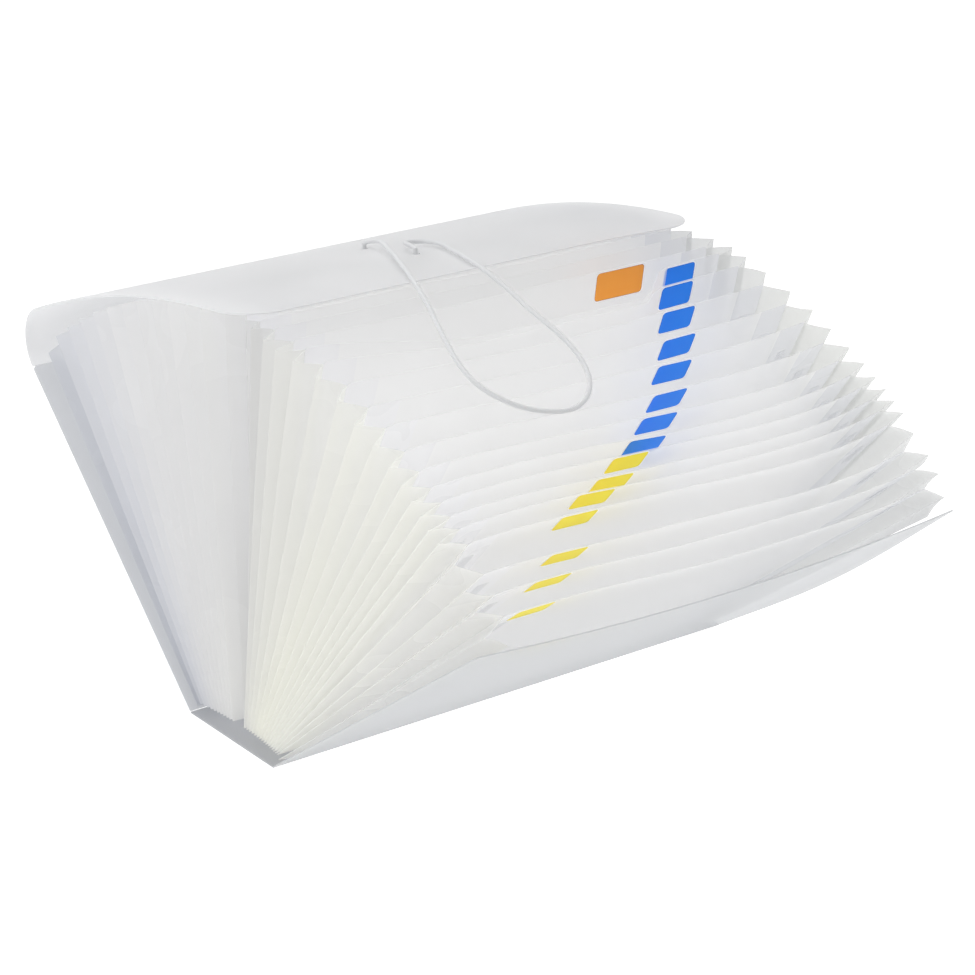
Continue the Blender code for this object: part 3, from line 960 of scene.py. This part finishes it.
@dataclass
class Pleats:
    """The side gussets, as the thin folded walls that each sheet carries at both ends."""

    plan: FanPlan
    wardrobe: Wardrobe
    wall_length: float = 0.016
    film: float = 0.00022
    ridge_gap: float = 0.00012
    cells_across: int = 5
    cells_up: int = 14
    bulge: float = 0.0011
    bulge_power: float = 1.2
    wave_share: float = 0.5
    wave_rate: float = 7.0
    wave_shift: float = 3.0
    pressed_in: dict[int, float] = field(default_factory=lambda: {25: 0.62, 27: 0.30, 29: 0.72})
    seed: int = 11
    crumple: list[list[float]] = field(init=False)

    def __post_init__(self) -> None:
        """Draw the small differences between the walls, the same each time."""
        draw = random.Random(self.seed)
        self.crumple = [[draw.uniform(-1, 1) for _ in range(4)] for _ in range(2 * self.plan.pockets + 2)]

    def ridge(self, index: int, height: float) -> Vector:
        """Return a point on the ridge between two sheets, for the end at +X.

        Args:
            index: the ridge's odd number from the back.
            height: 0 at the gusset's lower end and 1 at its top.

        Returns:
            The point in the frame's axes.
        """
        plan = self.plan
        middle = plan.edge_point(index, height)
        half_gap = (plan.edge_point(index + 1, height) - plan.edge_point(index - 1, height)).length / 2
        stand = math.sqrt(max(0.0, self.wall_length ** 2 - half_gap ** 2)) * self.pressed_in.get(index, 1.0)
        return Vector((plan.divider_width / 2 + plan.fit_gap + stand, middle.y, middle.z))

    def root(self, index: int, height: float) -> Vector:
        """Return a point on the fold along a sheet's edge, for the end at +X.

        Args:
            index: the fold line's even number from the back.
            height: 0 at the gusset's lower end and 1 at its top.

        Returns:
            The point in the frame's axes.
        """
        point = self.plan.edge_point(index, height)
        point.x = self.plan.divider_width / 2 + self.plan.fit_gap
        return point

    def wall_point(self, pocket: int, step: int, side: int, across: float, height: float) -> Vector:
        """Return a point on one of a sheet's gusset walls.

        Args:
            pocket: the sheet's number from the back.
            step: -1 for the wall towards the back and 1 for the one towards the front.
            side: -1 for the left end and 1 for the right one.
            across: 0 at the sheet and 1 at the ridge.
            height: 0 at the gusset's lower end and 1 at its top.

        Returns:
            The point in the frame's axes.
        """
        start = self.root(2 * pocket, height)
        ridge = self.ridge(2 * pocket + step, height)
        away = self.plan.normal(pocket) * (step * self.ridge_gap)
        point = start.lerp(ridge + away, across)
        crumple = self.crumple[2 * pocket + max(step, 0)]
        bend = math.sin(math.pi * across) * height ** self.bulge_power * self.bulge
        turn = self.wave_rate * height + self.wave_shift * crumple[2] + side
        wave = crumple[0] + self.wave_share * crumple[1] * math.sin(turn)
        along = (ridge - start).normalized()
        square = Vector((1, 0, 0)) - along * along.x
        point += square.normalized() * (bend * wave)
        point.x *= side
        return point

    def build_end(self, pocket: int, side: int) -> Bench:
        """Build the walls that one sheet carries at one end.

        Args:
            pocket: the sheet's number from the back.
            side: -1 for the left end and 1 for the right one.

        Returns:
            The folded strip on the bench.
        """
        steps = [s for s in (-1, 1) if 0 <= pocket + s <= self.plan.pockets]
        count = self.cells_across * len(steps)
        strip = Bench.upright(f"pleats_{pocket}_{side}", 1.0, 0.0, 1.0, (count, self.cells_up))
        first = -1.0 if steps[0] == -1 else 0.0

        def fold(place: Vector) -> Vector:
            """Put a point of the flat grid on its wall.

            Args:
                place: the point on the flat grid.

            Returns:
                The point in the frame's axes.
            """
            column = first + (place.x + 0.5) * len(steps)
            step = steps[0] if abs(column) <= NEAR else int(math.copysign(1, column))
            return self.wall_point(pocket, step, side, abs(column), place.z)

        strip.map_points(fold)
        with strip.picked(lambda _: True, "FACE"):
            bpy.ops.mesh.normals_make_consistent(inside=False)
        # The grid faces the front before it is folded, so the outer side is set by the ridge's place
        outward = sum((p.normal.x * p.area for p in strip.item.data.polygons)) * side
        if outward < 0:
            with strip.picked(lambda _: True, "FACE"):
                bpy.ops.mesh.flip_normals()
        return strip.thicken(self.film, -1.0)

    def build(self, pocket: int) -> Object:
        """Build, dress and hand over the walls of one sheet, at both ends.

        Args:
            pocket: the sheet's number from the back.

        Returns:
            The piece's object.
        """
        left, right = (self.build_end(pocket, side) for side in (-1, 1))
        left.join([right])
        left.item.name = f"gusset_folds_{pocket:02d}"
        left.item.data.name = left.item.name
        left.smooth(35).dress(self.wardrobe.gusset)
        stands_for = {0: ["gusset_left"], self.plan.pockets: ["gusset_right"]}.get(pocket, [])
        made = left.hand_over(self.plan.body(pocket), "milky_sheet", stands_for)
        self.plan.let_flatten(made, pocket)
        return made


@dataclass
class Dividers:
    """The thin sheets between the pockets, with welded side bands and ladders of press marks."""

    plan: FanPlan
    bows: BowPlan
    wardrobe: Wardrobe
    film: float = 0.00030
    cells: tuple[int, int] = (29, 12)
    top_corner: float = 0.0015
    weld_band: float = 0.020
    mark_rows: int = 9
    mark_pitch: float = 0.0019
    mark_width: float = 0.0075
    mark_rise: float = 0.0010
    mark_height: float = 0.00012
    mark_inset: float = 0.0095
    mark_top: float = 0.0195

    def build_marks(self, pocket: int) -> Bench:
        """Build the ladder of small heat-press marks in both upper corners.

        Args:
            pocket: the sheet's number from the back.

        Returns:
            All the marks as one piece on the bench, on the sheet's front face.
        """
        middle = self.plan.divider_width / 2 - self.mark_inset
        top = self.plan.divider_height - self.mark_top
        ladders = []
        for side in (-1, 1):
            rung = Bench.upright(
                f"marks_{pocket}_{side}", self.mark_width, top - self.mark_rise, top, middle=side * middle
            )
            rung.apply(
                "ARRAY", count=self.mark_rows, use_relative_offset=False, use_constant_offset=True,
                constant_offset_displace=(0, 0, -self.mark_pitch),
            )
            ladders.append(rung.thicken(self.mark_height))
        ladders[0].join(ladders[1:])
        return ladders[0].push("Y", lambda _: -(self.film + self.mark_height) / 2)

    def build(self, pocket: int) -> Object:
        """Build, dress and hand over one divider.

        Args:
            pocket: the sheet's number from the back.

        Returns:
            The piece's object.
        """
        plan = self.plan
        bow = self.bows.of(pocket)
        name = f"pocket_sheet_{pocket:02d}"
        sheet = Bench.upright(name, plan.divider_width, 0.0, plan.divider_height, self.cells)
        high, half = plan.divider_height, plan.divider_width / 2
        sheet.round_corners(self.top_corner, lambda p: p.z > high - NEAR and abs(p.x) > half - NEAR, 3)
        sheet.thicken(self.film)
        marks = self.build_marks(pocket)
        sheet.dress(self.wardrobe.sheet, self.wardrobe.weld, self.wardrobe.pressed)
        sheet.paint(lambda p: abs(p.x) > half - self.weld_band, 1)
        marks.dress(self.wardrobe.pressed)
        sheet.join([marks])
        sheet.push("Y", bow)
        sheet.lean(plan.stand(pocket)).smooth(40)
        made = sheet.hand_over(plan.body(pocket), "milky_sheet", [f"divider_{pocket:02d}"])
        plan.let_flatten(made, pocket)
        return made


@dataclass
class Labels:
    """The label cards that step across the sheets' top edges."""

    plan: FanPlan
    bows: BowPlan
    wardrobe: Wardrobe
    thickness: float = 0.00018
    corner: float = 0.0028
    top_margin: float = 0.0005
    border: float = 0.0006
    rim: float = 0.0004
    stand_off: float = 0.00008
    large: tuple[float, float] = (0.036, 0.019)
    large_margins: tuple[float, float] = (0.009, 0.048)
    small: tuple[float, float] = (0.025, 0.016)
    small_margins: tuple[float, float] = (0.0085, 0.0185)
    last_large: int = 16
    bare: tuple[int, ...] = (13, 14, 15)
    group: int = 8
    cut_shares: tuple[float, ...] = (0.2, 0.4, 0.6, 0.8)

    def ink(self, pocket: int) -> Ink:
        """Return the colour of a pocket's label. The cards under the flap are left blank.

        Args:
            pocket: the sheet's number from the back.

        Returns:
            The ink.
        """
        if pocket < self.last_large:
            return Ink.BLANK
        return list(Ink)[(pocket - 1) // self.group]

    def size_and_middle(self, pocket: int) -> tuple[float, float, float]:
        """Return a label's width and height and the place of its middle, as in the CAD.

        Args:
            pocket: the sheet's number from the back.

        Returns:
            The width, the height, and the middle's place along X.
        """
        if pocket <= self.last_large:
            share = ((pocket - 1) % self.group) / (self.group - 1)
            (width, height), (left, right) = self.large, self.large_margins
        else:
            share = (self.plan.pockets - 1 - pocket) / (self.plan.pockets - 2 - self.last_large)
            (width, height), (left, right) = self.small, self.small_margins
        first = -self.plan.divider_width / 2 + left + width / 2
        last = self.plan.divider_width / 2 - right - width / 2
        return width, height, first + (last - first) * share

    def build(self, pocket: int) -> Object:
        """Build, dress and hand over one label.

        Args:
            pocket: the sheet's number from the back.

        Returns:
            The piece's object.
        """
        width, height, middle = self.size_and_middle(pocket)
        top = self.plan.divider_height - self.top_margin
        low = top - height
        ink = self.ink(pocket)
        label = Bench.upright(f"label_card_{pocket:02d}", width, low, top, middle=middle)
        label.dress(self.wardrobe.border, self.wardrobe.rims[ink], self.wardrobe.inks[ink])
        label.round_corners(self.corner, lambda _: True, 4)
        with label.picked(lambda _: True, "FACE"):
            for index, band in enumerate((self.border, self.rim), 1):
                bpy.ops.mesh.inset(thickness=band, depth=0)
                bpy.context.object.active_material_index = index
                bpy.ops.object.material_slot_assign()
        cuts = [middle + width * (share - 0.5) for share in self.cut_shares]
        label.cut_across((1, 0, 0), cuts)
        label.thicken(self.thickness)
        bow = self.bows.of(pocket)
        face = -(self.stand_off + Dividers.film / 2 + self.thickness / 2)
        label.push("Y", lambda place: bow(place) + face)
        label.lean(self.plan.stand(pocket)).smooth(40)
        slot = {Ink.ORANGE: "label_orange", Ink.BLUE: "label_blue", Ink.YELLOW: "label_yellow"}.get(ink)
        stands_for = [f"label_{pocket:02d}"] if pocket >= self.last_large else []
        made = label.hand_over(self.plan.body(pocket), slot, stands_for)
        self.plan.let_flatten(made, pocket)
        return made


@dataclass
class Case:
    """The stiff board round the pockets: two covers, the bend over the top and the flap."""

    plan: FanPlan
    corner: float = 0.0025
    cells: tuple[int, int] = (22, 14)
    front_swell: float = 0.0065
    front_curl: float = 0.0055
    rear_swell: float = 0.0015
    swell_power: float = 1.6
    curl_power: float = 1.2
    curl_from: float = 0.35
    square_corner: float = 0.00001
    fold_cells: tuple[int, int] = (22, 22)
    fold_radius: float = 0.024
    fold_start: tuple[float, float] = (0.2172415, 0.166718)
    flap_start: tuple[float, float] = (0.2097661, 0.2061503)
    fold_turn: float = math.radians(113.469)
    flap_radius: float = 0.730
    flap_length: float = 0.2455
    flap_corner: float = 0.027
    flap_cells: tuple[int, int] = (22, 16)
    corner_droop: float = 0.0018
    corner_draw: float = 0.0070
    corner_from: float = 0.3
    hole_radius: float = 0.0025
    hole_sides: int = 20
    punch_length: float = 0.010
    hole_x: float = -0.010
    holes_along: tuple[float, float] = (0.1325, 0.1865)

    def board(self, name: str, low: float, high: float, corner: float, cells: tuple[int, int]) -> Bench:
        """Build an upright board with rounded upper corners, cut into a fine net.

        Args:
            name: the piece's name.
            low: height of its lower edge.
            high: height of its upper edge.
            corner: radius of its two upper corners.
            cells: how many strips it is cut into along X and upwards.

        Returns:
            The board on the bench, its outer face on y = 0.
        """
        plan = self.plan
        plate = Bench.upright(name, plan.cover_length, low, high)
        plate.round_corners(corner, lambda p: p.z > (low + high) / 2, 8)
        half = plan.cover_length / 2
        plate.cut_across((1, 0, 0), [-half + 2 * half * i / cells[0] for i in range(1, cells[0])])
        rows = [low + (high - low) * i / cells[1] for i in range(1, cells[1])]
        return plate.cut_across((0, 0, 1), rows)

    def build_cover(self, name: str, pocket: int, bow: Shift, finish: Material) -> Object:
        """Build one cover.

        Args:
            name: the CAD node that it stands for.
            pocket: its number among the sheets.
            bow: how far its outer face stands towards the back.
            finish: its material.

        Returns:
            The piece's object.
        """
        plan = self.plan
        side = 1 if pocket == 0 else -1
        cover = self.board(
            "board_" + name, plan.board + plan.fit_gap, plan.cover_height, self.corner, self.cells
        )
        cover.thicken(plan.board, side)
        cover.push("Y", bow)
        hinge = Matrix.Translation((0, side * plan.spine_width / 2, 0))
        cover.lean(hinge @ Matrix.Rotation(plan.lean(pocket), 4, "X"))
        cover.smooth(40).dress(finish)
        return cover.hand_over(name, "clear_board", [name])

    def bent(self, radius: float) -> Callable[[Vector], Vector]:
        """Return the mapping that bends an upright board over towards -y.

        Args:
            radius: the bend's radius.

        Returns:
            What gives a point of the flat board its place on the bend.
        """

        def bend(place: Vector) -> Vector:
            """Put a point of the flat board on the bend."""
            angle, reach = place.z / radius, radius + place.y
            return Vector((place.x, reach * math.cos(angle) - radius, reach * math.sin(angle)))

        return bend

    def build_fold(self, finish: Material) -> Object:
        """Build the bend over the back cover's upper edge.

        Args:
            finish: its material.

        Returns:
            The piece's object.
        """
        plan = self.plan
        length = self.fold_radius * self.fold_turn
        fold = self.board("board_bend", plan.fit_gap, length, self.square_corner, self.fold_cells)
        fold.thicken(plan.board, 1.0)
        fold.map_points(self.bent(self.fold_radius))
        place = Matrix.Translation((0, *self.fold_start)) @ Matrix.Rotation(-plan.back_lean, 4, "X")
        fold.lean(place).smooth(40).dress(finish)
        return fold.hand_over("flap_fold", "clear_board", ["flap_fold"])

    def flap_place(self) -> Matrix:
        """Return where the flap starts and how it is turned."""
        turn = self.fold_turn - self.plan.back_lean
        return Matrix.Translation((0, *self.flap_start)) @ Matrix.Rotation(turn, 4, "X")

    def build_flap(self, finish: Material) -> Object:
        """Build the flap with its two cord holes.

        Args:
            finish: its material.

        Returns:
            The piece's object.
        """
        plan = self.plan
        flap = self.board("board_flap", plan.fit_gap, self.flap_length, self.flap_corner, self.flap_cells)
        flap.thicken(plan.board, 1.0)
        for along in self.holes_along:
            Bench.clear()
            place = (self.hole_x, 0, along)
            bpy.ops.mesh.primitive_cylinder_add(
                vertices=self.hole_sides, radius=self.hole_radius, depth=self.punch_length, location=place,
                rotation=(math.pi / 2, 0, 0),
            )
            punch = Bench("punch")
            flap.apply("BOOLEAN", operation="DIFFERENCE", solver="EXACT", object=punch.item)
            bpy.data.objects.remove(punch.item)
        half = plan.cover_length / 2

        def curl(place: Vector) -> float:
            """Return how much of its curl the sheet has near its free right-hand corner."""
            return smooth_step(self.corner_from, 1.0, place.x / half) * (place.z / self.flap_length)

        flap.push("Y", lambda place: -self.corner_droop * curl(place) ** 2)
        flap.push("X", lambda place: -self.corner_draw * curl(place))
        flap.map_points(self.bent(self.flap_radius))
        flap.lean(self.flap_place()).smooth(40).dress(finish)
        return flap.hand_over("flap", "clear_board", ["flap"])

    def build(self, wardrobe: Wardrobe) -> None:
        """Build and dress all the boards but the spine, which stays a CAD node.

        Args:
            wardrobe: the finishes.
        """
        half = self.plan.cover_length / 2

        def front(place: Vector) -> float:
            """Return how far the front cover stands towards the back, mostly less than nothing.

            Args:
                place: a point of the upright board.

            Returns:
                The distance in metres.
            """
            s, rise = place.x / half, place.z / self.plan.cover_height
            edge = smooth_step(self.curl_from, 1.0, s)
            swell = self.front_swell * (1 - s * s) * rise ** self.swell_power
            curl = self.front_curl * edge * math.sin(math.pi * min(1, rise)) ** self.curl_power
            return -swell - curl

        def back(place: Vector) -> float:
            """Return how far the back cover stands towards the back."""
            s, rise = place.x / half, place.z / self.plan.cover_height
            return self.rear_swell * (1 - s * s) * math.sin(math.pi * rise)

        self.build_cover("front_cover", self.plan.pockets, front, wardrobe.board)
        self.build_cover("back_cover", 0, back, wardrobe.back)
        self.build_fold(wardrobe.flap)
        self.build_flap(wardrobe.flap)


@dataclass
class Cord:
    """The elastic cord from the flap's rear hole, round its loop and back into the front hole."""

    case: Case
    plan: FanPlan
    diameter: float = 0.0028
    rise: float = 0.0028
    spacing: float = 0.0040
    route: tuple[tuple[float, float, float], ...] = (
        (-0.0085, 0.0735, 0.2525), (-0.0244, 0.0358, 0.2585), (-0.0400, 0.0030, 0.2618),
        (-0.0540, -0.0284, 0.2625), (-0.0618, -0.0536, 0.2560), (-0.0731, -0.0834, 0.2485),
        (-0.0813, -0.1101, 0.2404), (-0.0813, -0.1280, 0.2330), (-0.0744, -0.1408, 0.2270),
        (-0.0644, -0.1495, 0.2225), (-0.0517, -0.1546, 0.2197), (-0.0391, -0.1557, 0.2190),
        (-0.0277, -0.1515, 0.2213), (-0.0188, -0.1436, 0.2256), (-0.0140, -0.1340, 0.2303),
        (-0.0110, -0.1214, 0.2359), (-0.0105, -0.1056, 0.2419), (-0.0109, -0.0791, 0.2497),
        (-0.0098, -0.0541, 0.2568), (-0.0090, -0.0275, 0.2625), (0.0018, 0.0100, 0.2600),
        (0.0092, 0.0360, 0.2568), (0.0068, 0.0490, 0.2552), (-0.0035, 0.0500, 0.2560),
    )
    samples: int = 24
    bar_length: float = 0.012
    bar_width: float = 0.0024
    bar_thickness: float = 0.0012
    bar_sides: int = 16
    waist_cuts: tuple[float, ...] = (-0.0018, -0.0009, 0.0009, 0.0018)
    waist_reach: float = 0.0010
    waist_shares: tuple[float, float, float] = (1, 0.72, 0.80)
    line: list[Vector] = field(init=False)

    def __post_init__(self) -> None:
        """Work out the cord's line."""
        depths = (self.plan.board, -self.rise)
        rear, front = ([self.on_flap(along, depth) for depth in depths] for along in self.case.holes_along)
        points = rear + [Vector(point) for point in self.route] + front[::-1]
        self.line = [points[0]] + self.smooth_line(points) + [points[-1]]

    def on_flap(self, along: float, depth: float) -> Vector:
        """Return a point over or under the flap on the line of its holes.

        Args:
            along: the distance up the flap.
            depth: the distance under its outer face.

        Returns:
            The point in the frame's axes.
        """
        bent = self.case.bent(self.case.flap_radius)
        return self.case.flap_place() @ bent(Vector((self.case.hole_x, -depth, along)))

    @property
    def length(self) -> float:
        """Return the length of the cord's line."""
        return sum((end - start).length for start, end in zip(self.line, self.line[1:]))

    def smooth_line(self, points: list[Vector]) -> list[Vector]:
        """Space points evenly along a smooth curve from the second point to the last but one.

        Args:
            points: what the curve passes through, with one more at each end.

        Returns:
            The points along the curve.
        """
        fine = []
        for p0, p1, p2, p3 in zip(points, points[1:], points[2:], points[3:]):
            t1 = math.sqrt((p1 - p0).length)
            t2 = t1 + math.sqrt((p2 - p1).length)
            t3 = t2 + math.sqrt((p3 - p2).length)
            for step in range(self.samples):
                t = t1 + (t2 - t1) * step / self.samples
                a1 = p0.lerp(p1, t / t1)
                a2 = p1.lerp(p2, (t - t1) / (t2 - t1))
                a3 = p2.lerp(p3, (t - t2) / (t3 - t2))
                fine.append(a1.lerp(a2, t / t2).lerp(a2.lerp(a3, (t - t1) / (t3 - t1)), (t - t1) / (t2 - t1)))
        fine.append(points[-2])
        lengths = [0.0]
        for start, end in zip(fine, fine[1:]):
            lengths.append(lengths[-1] + (end - start).length)
        count = round(lengths[-1] / self.spacing)
        even, index = [], 0
        for step in range(count + 1):
            target = lengths[-1] * step / count
            while index < len(fine) - 2 and lengths[index + 1] < target:
                index += 1
            share = (target - lengths[index]) / (lengths[index + 1] - lengths[index])
            even.append(fine[index].lerp(fine[index + 1], share))
        return even

    def build_bar(self, name: str, along: float, metal: Material) -> Object:
        """Build one of the small pressed bars that hold the cord's ends under the flap.

        Args:
            name: the CAD node that it stands for.
            along: how far up the flap its hole is.
            metal: its finish.

        Returns:
            The piece's object.
        """
        bar = Bench.rod("pressed_" + name, self.bar_width / 2, self.bar_length, self.bar_sides)
        half = self.bar_length / 2
        with bar.picked(lambda p: abs(abs(p.x) - half) < NEAR, "FACE"):
            bpy.ops.mesh.bevel(offset=self.bar_width / 5, segments=3, affect="EDGES")
        bar.cut_across((1, 0, 0), self.waist_cuts)
        with bar.picked(lambda p: abs(p.x) < self.waist_reach):
            bpy.ops.transform.resize(value=self.waist_shares)
        bar.item.scale = (1, self.bar_thickness / self.bar_width, 1)
        bar.settle()
        middle = self.on_flap(along, self.plan.board + self.plan.fit_gap + self.bar_thickness / 2)
        turn = self.case.fold_turn - self.plan.back_lean + along / self.case.flap_radius
        bar.lean(Matrix.Translation(middle) @ Matrix.Rotation(turn, 4, "X"))
        return bar.smooth(40).dress(metal).hand_over("flap", "barb_metal", [name])

    def build(self, wardrobe: Wardrobe) -> None:
        """Args:
            wardrobe: the finishes.
        """
        Bench.clear()
        curve = bpy.data.curves.new("elastic", "CURVE")
        curve.dimensions = "3D"
        curve.bevel_depth = self.diameter / 2
        curve.bevel_resolution = 4
        curve.use_fill_caps = True
        spline = curve.splines.new("POLY")
        spline.points.add(len(self.line) - 1)
        for point, place in zip(spline.points, self.line):
            point.co = (*place, 1)
        item = bpy.data.objects.new("elastic_loop", curve)
        bpy.context.scene.collection.objects.link(item)
        item.select_set(True)
        bpy.context.view_layer.objects.active = item
        bpy.ops.object.convert(target="MESH")
        tube = Bench("elastic_loop")
        tube.smooth(50).dress(wardrobe.elastic)
        made = tube.hand_over("flap", "cord_grey", ["elastic_cord"])
        names = ("cord_barb_rear", "cord_barb_front")
        bars = [self.build_bar(n, along, wardrobe.metal) for n, along in zip(names, self.case.holes_along)]
        self.length
        LOG.info("cord of %.3f m", self.length)


@dataclass(frozen=True)
class SoftLamp:
    """A soft rectangular lamp, with its place, what it points at, its size and its power."""

    name: str
    place: tuple[float, float, float]
    aim: tuple[float, float, float]
    size: tuple[float, float]
    watts: float

    def hang(self) -> None:
        """Add the lamp to the scene."""
        data = bpy.data.lights.new(self.name, "AREA")
        data.shape = "RECTANGLE"
        data.size, data.size_y = self.size
        data.energy = self.watts
        item = bpy.data.objects.new(self.name, data)
        bpy.context.scene.collection.objects.link(item)
        item.location = self.place
        item.rotation_mode = "QUATERNION"
        item.rotation_quaternion = (Vector(self.aim) - Vector(self.place)).to_track_quat("-Z", "Y")


@dataclass
class Studio:
    """White light table, soft lamps and the camera."""

    table_glow: float = 0.90
    table_size: float = 8.0
    table_drop: float = 0.0004
    sky: float = 0.42
    aim: tuple[float, float, float] = (0.01855, 0.0, 0.11243)
    azimuth: float = math.radians(-36.44)
    elevation: float = math.radians(21.22)
    roll: float = math.radians(-0.22)
    distance: float = 1.7452
    focal_px: float = 2934.5
    frame_px: int = 975
    sensor: float = 36.0
    lamps: tuple[SoftLamp, ...] = (
        SoftLamp("overhead", (0.2, 0.3, 2.0), (0, 0, 0.1), (2.2, 2.0), 21),
        SoftLamp("left_strip", (-1.5, 0.55, 0.9), (-0.1, 0.05, 0.15), (0.08, 1.3), 7),
    )

    def set_camera(self) -> None:
        """Place the camera as fitted to the photograph."""
        a, e = self.azimuth, self.elevation
        back = Vector((math.sin(a) * math.cos(e), -math.cos(a) * math.cos(e), math.sin(e)))
        data = bpy.data.cameras.new("camera")
        data.sensor_width = self.sensor
        data.lens = self.focal_px / self.frame_px * self.sensor
        data.clip_end = 30.0
        camera = bpy.data.objects.new("camera", data)
        bpy.context.scene.collection.objects.link(camera)
        camera.location = Vector(self.aim) + back * self.distance
        camera.rotation_mode = "QUATERNION"
        camera.rotation_quaternion = (-back).to_track_quat("-Z", "Y") @ Quaternion((0, 0, 1), self.roll)
        bpy.context.scene.camera = camera

    def build(self) -> None:
        """Lay the floor, hang the lamps and light the world."""
        Bench.clear()
        bpy.ops.mesh.primitive_grid_add(
            x_subdivisions=4, y_subdivisions=4, size=self.table_size, location=(0, 0, -self.table_drop)
        )
        floor = Bench("table_top")
        floor.dress(self.light_table())
        for lamp in self.lamps:
            lamp.hang()
        world = bpy.data.worlds.new("white_room")
        bpy.context.scene.world = world
        world.use_nodes = True
        # The sky is even, so rays that scatter find it as well as any search for bright parts would
        world.cycles.sampling_method = "NONE"
        background = world.node_tree.nodes["Background"]
        background.inputs["Color"].default_value = linear("#FFFFFF")
        background.inputs["Strength"].default_value = self.sky
        scene = bpy.context.scene
        scene.view_settings.view_transform = "Standard"
        scene.view_settings.look = "None"
        scene.cycles.max_bounces = 10
        scene.cycles.diffuse_bounces = 6
        scene.cycles.transparent_max_bounces = 28

    def light_table(self) -> Material:
        """Build pale acrylic that is lit from below, which keeps the ground free of shadows.

        Returns:
            The material.
        """
        made, tree = start_material("pale_light_table")
        place = add_node(tree, "TexCoord").outputs["Object"]
        # The acrylic's tone drifts over a third of a metre
        mottle = add_node(tree, "TexNoise", {"Vector": place, "Scale": 3.0, "Detail": 3.0}).outputs["Fac"]
        dark, pale = linear("#9C9C9C"), linear("#A2A2A2")
        tone = add_node(
            tree, "Mix", {"Factor": mottle, "A": dark, "B": pale}, data_type="RGBA"
        ).outputs["Result"]
        face = add_node(
            tree,
            "BsdfPrincipled",
            {"Base Color": tone, "Roughness": 0.9, "Emission Color": linear("#FFFFFF"),
             "Emission Strength": self.table_glow},
        ).outputs["BSDF"]
        add_node(tree, "OutputMaterial", {"Surface": face})
        return made


def main() -> None:
    """Load the frame and build every piece round it."""
    logging.basicConfig(level=logging.INFO, format="%(message)s")
    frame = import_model()
    plan = FanPlan()
    studio = Studio()
    studio.set_camera()
    case = Case(plan)
    cord = Cord(case, plan)
    wardrobe = Wardrobe(cord.length, math.pi * cord.diameter)
    cord.build(wardrobe)
    studio.build()
    case.build(wardrobe)
    bows = BowPlan(plan)
    dividers = Dividers(plan, bows, wardrobe)
    labels = Labels(plan, bows, wardrobe)
    pleats = Pleats(plan, wardrobe)
    for pocket in range(plan.pockets + 1):
        if 0 < pocket < plan.pockets:
            dividers.build(pocket)
            if pocket not in labels.bare:
                labels.build(pocket)
        pleats.build(pocket)
    for name, material in (("spine_strip", wardrobe.spine), ("bottom_gusset", wardrobe.gusset)):
        node = frame["nodes"][name]
        node.data.materials.clear()
        node.data.materials.append(material)


if __name__ == "__main__":
    main()
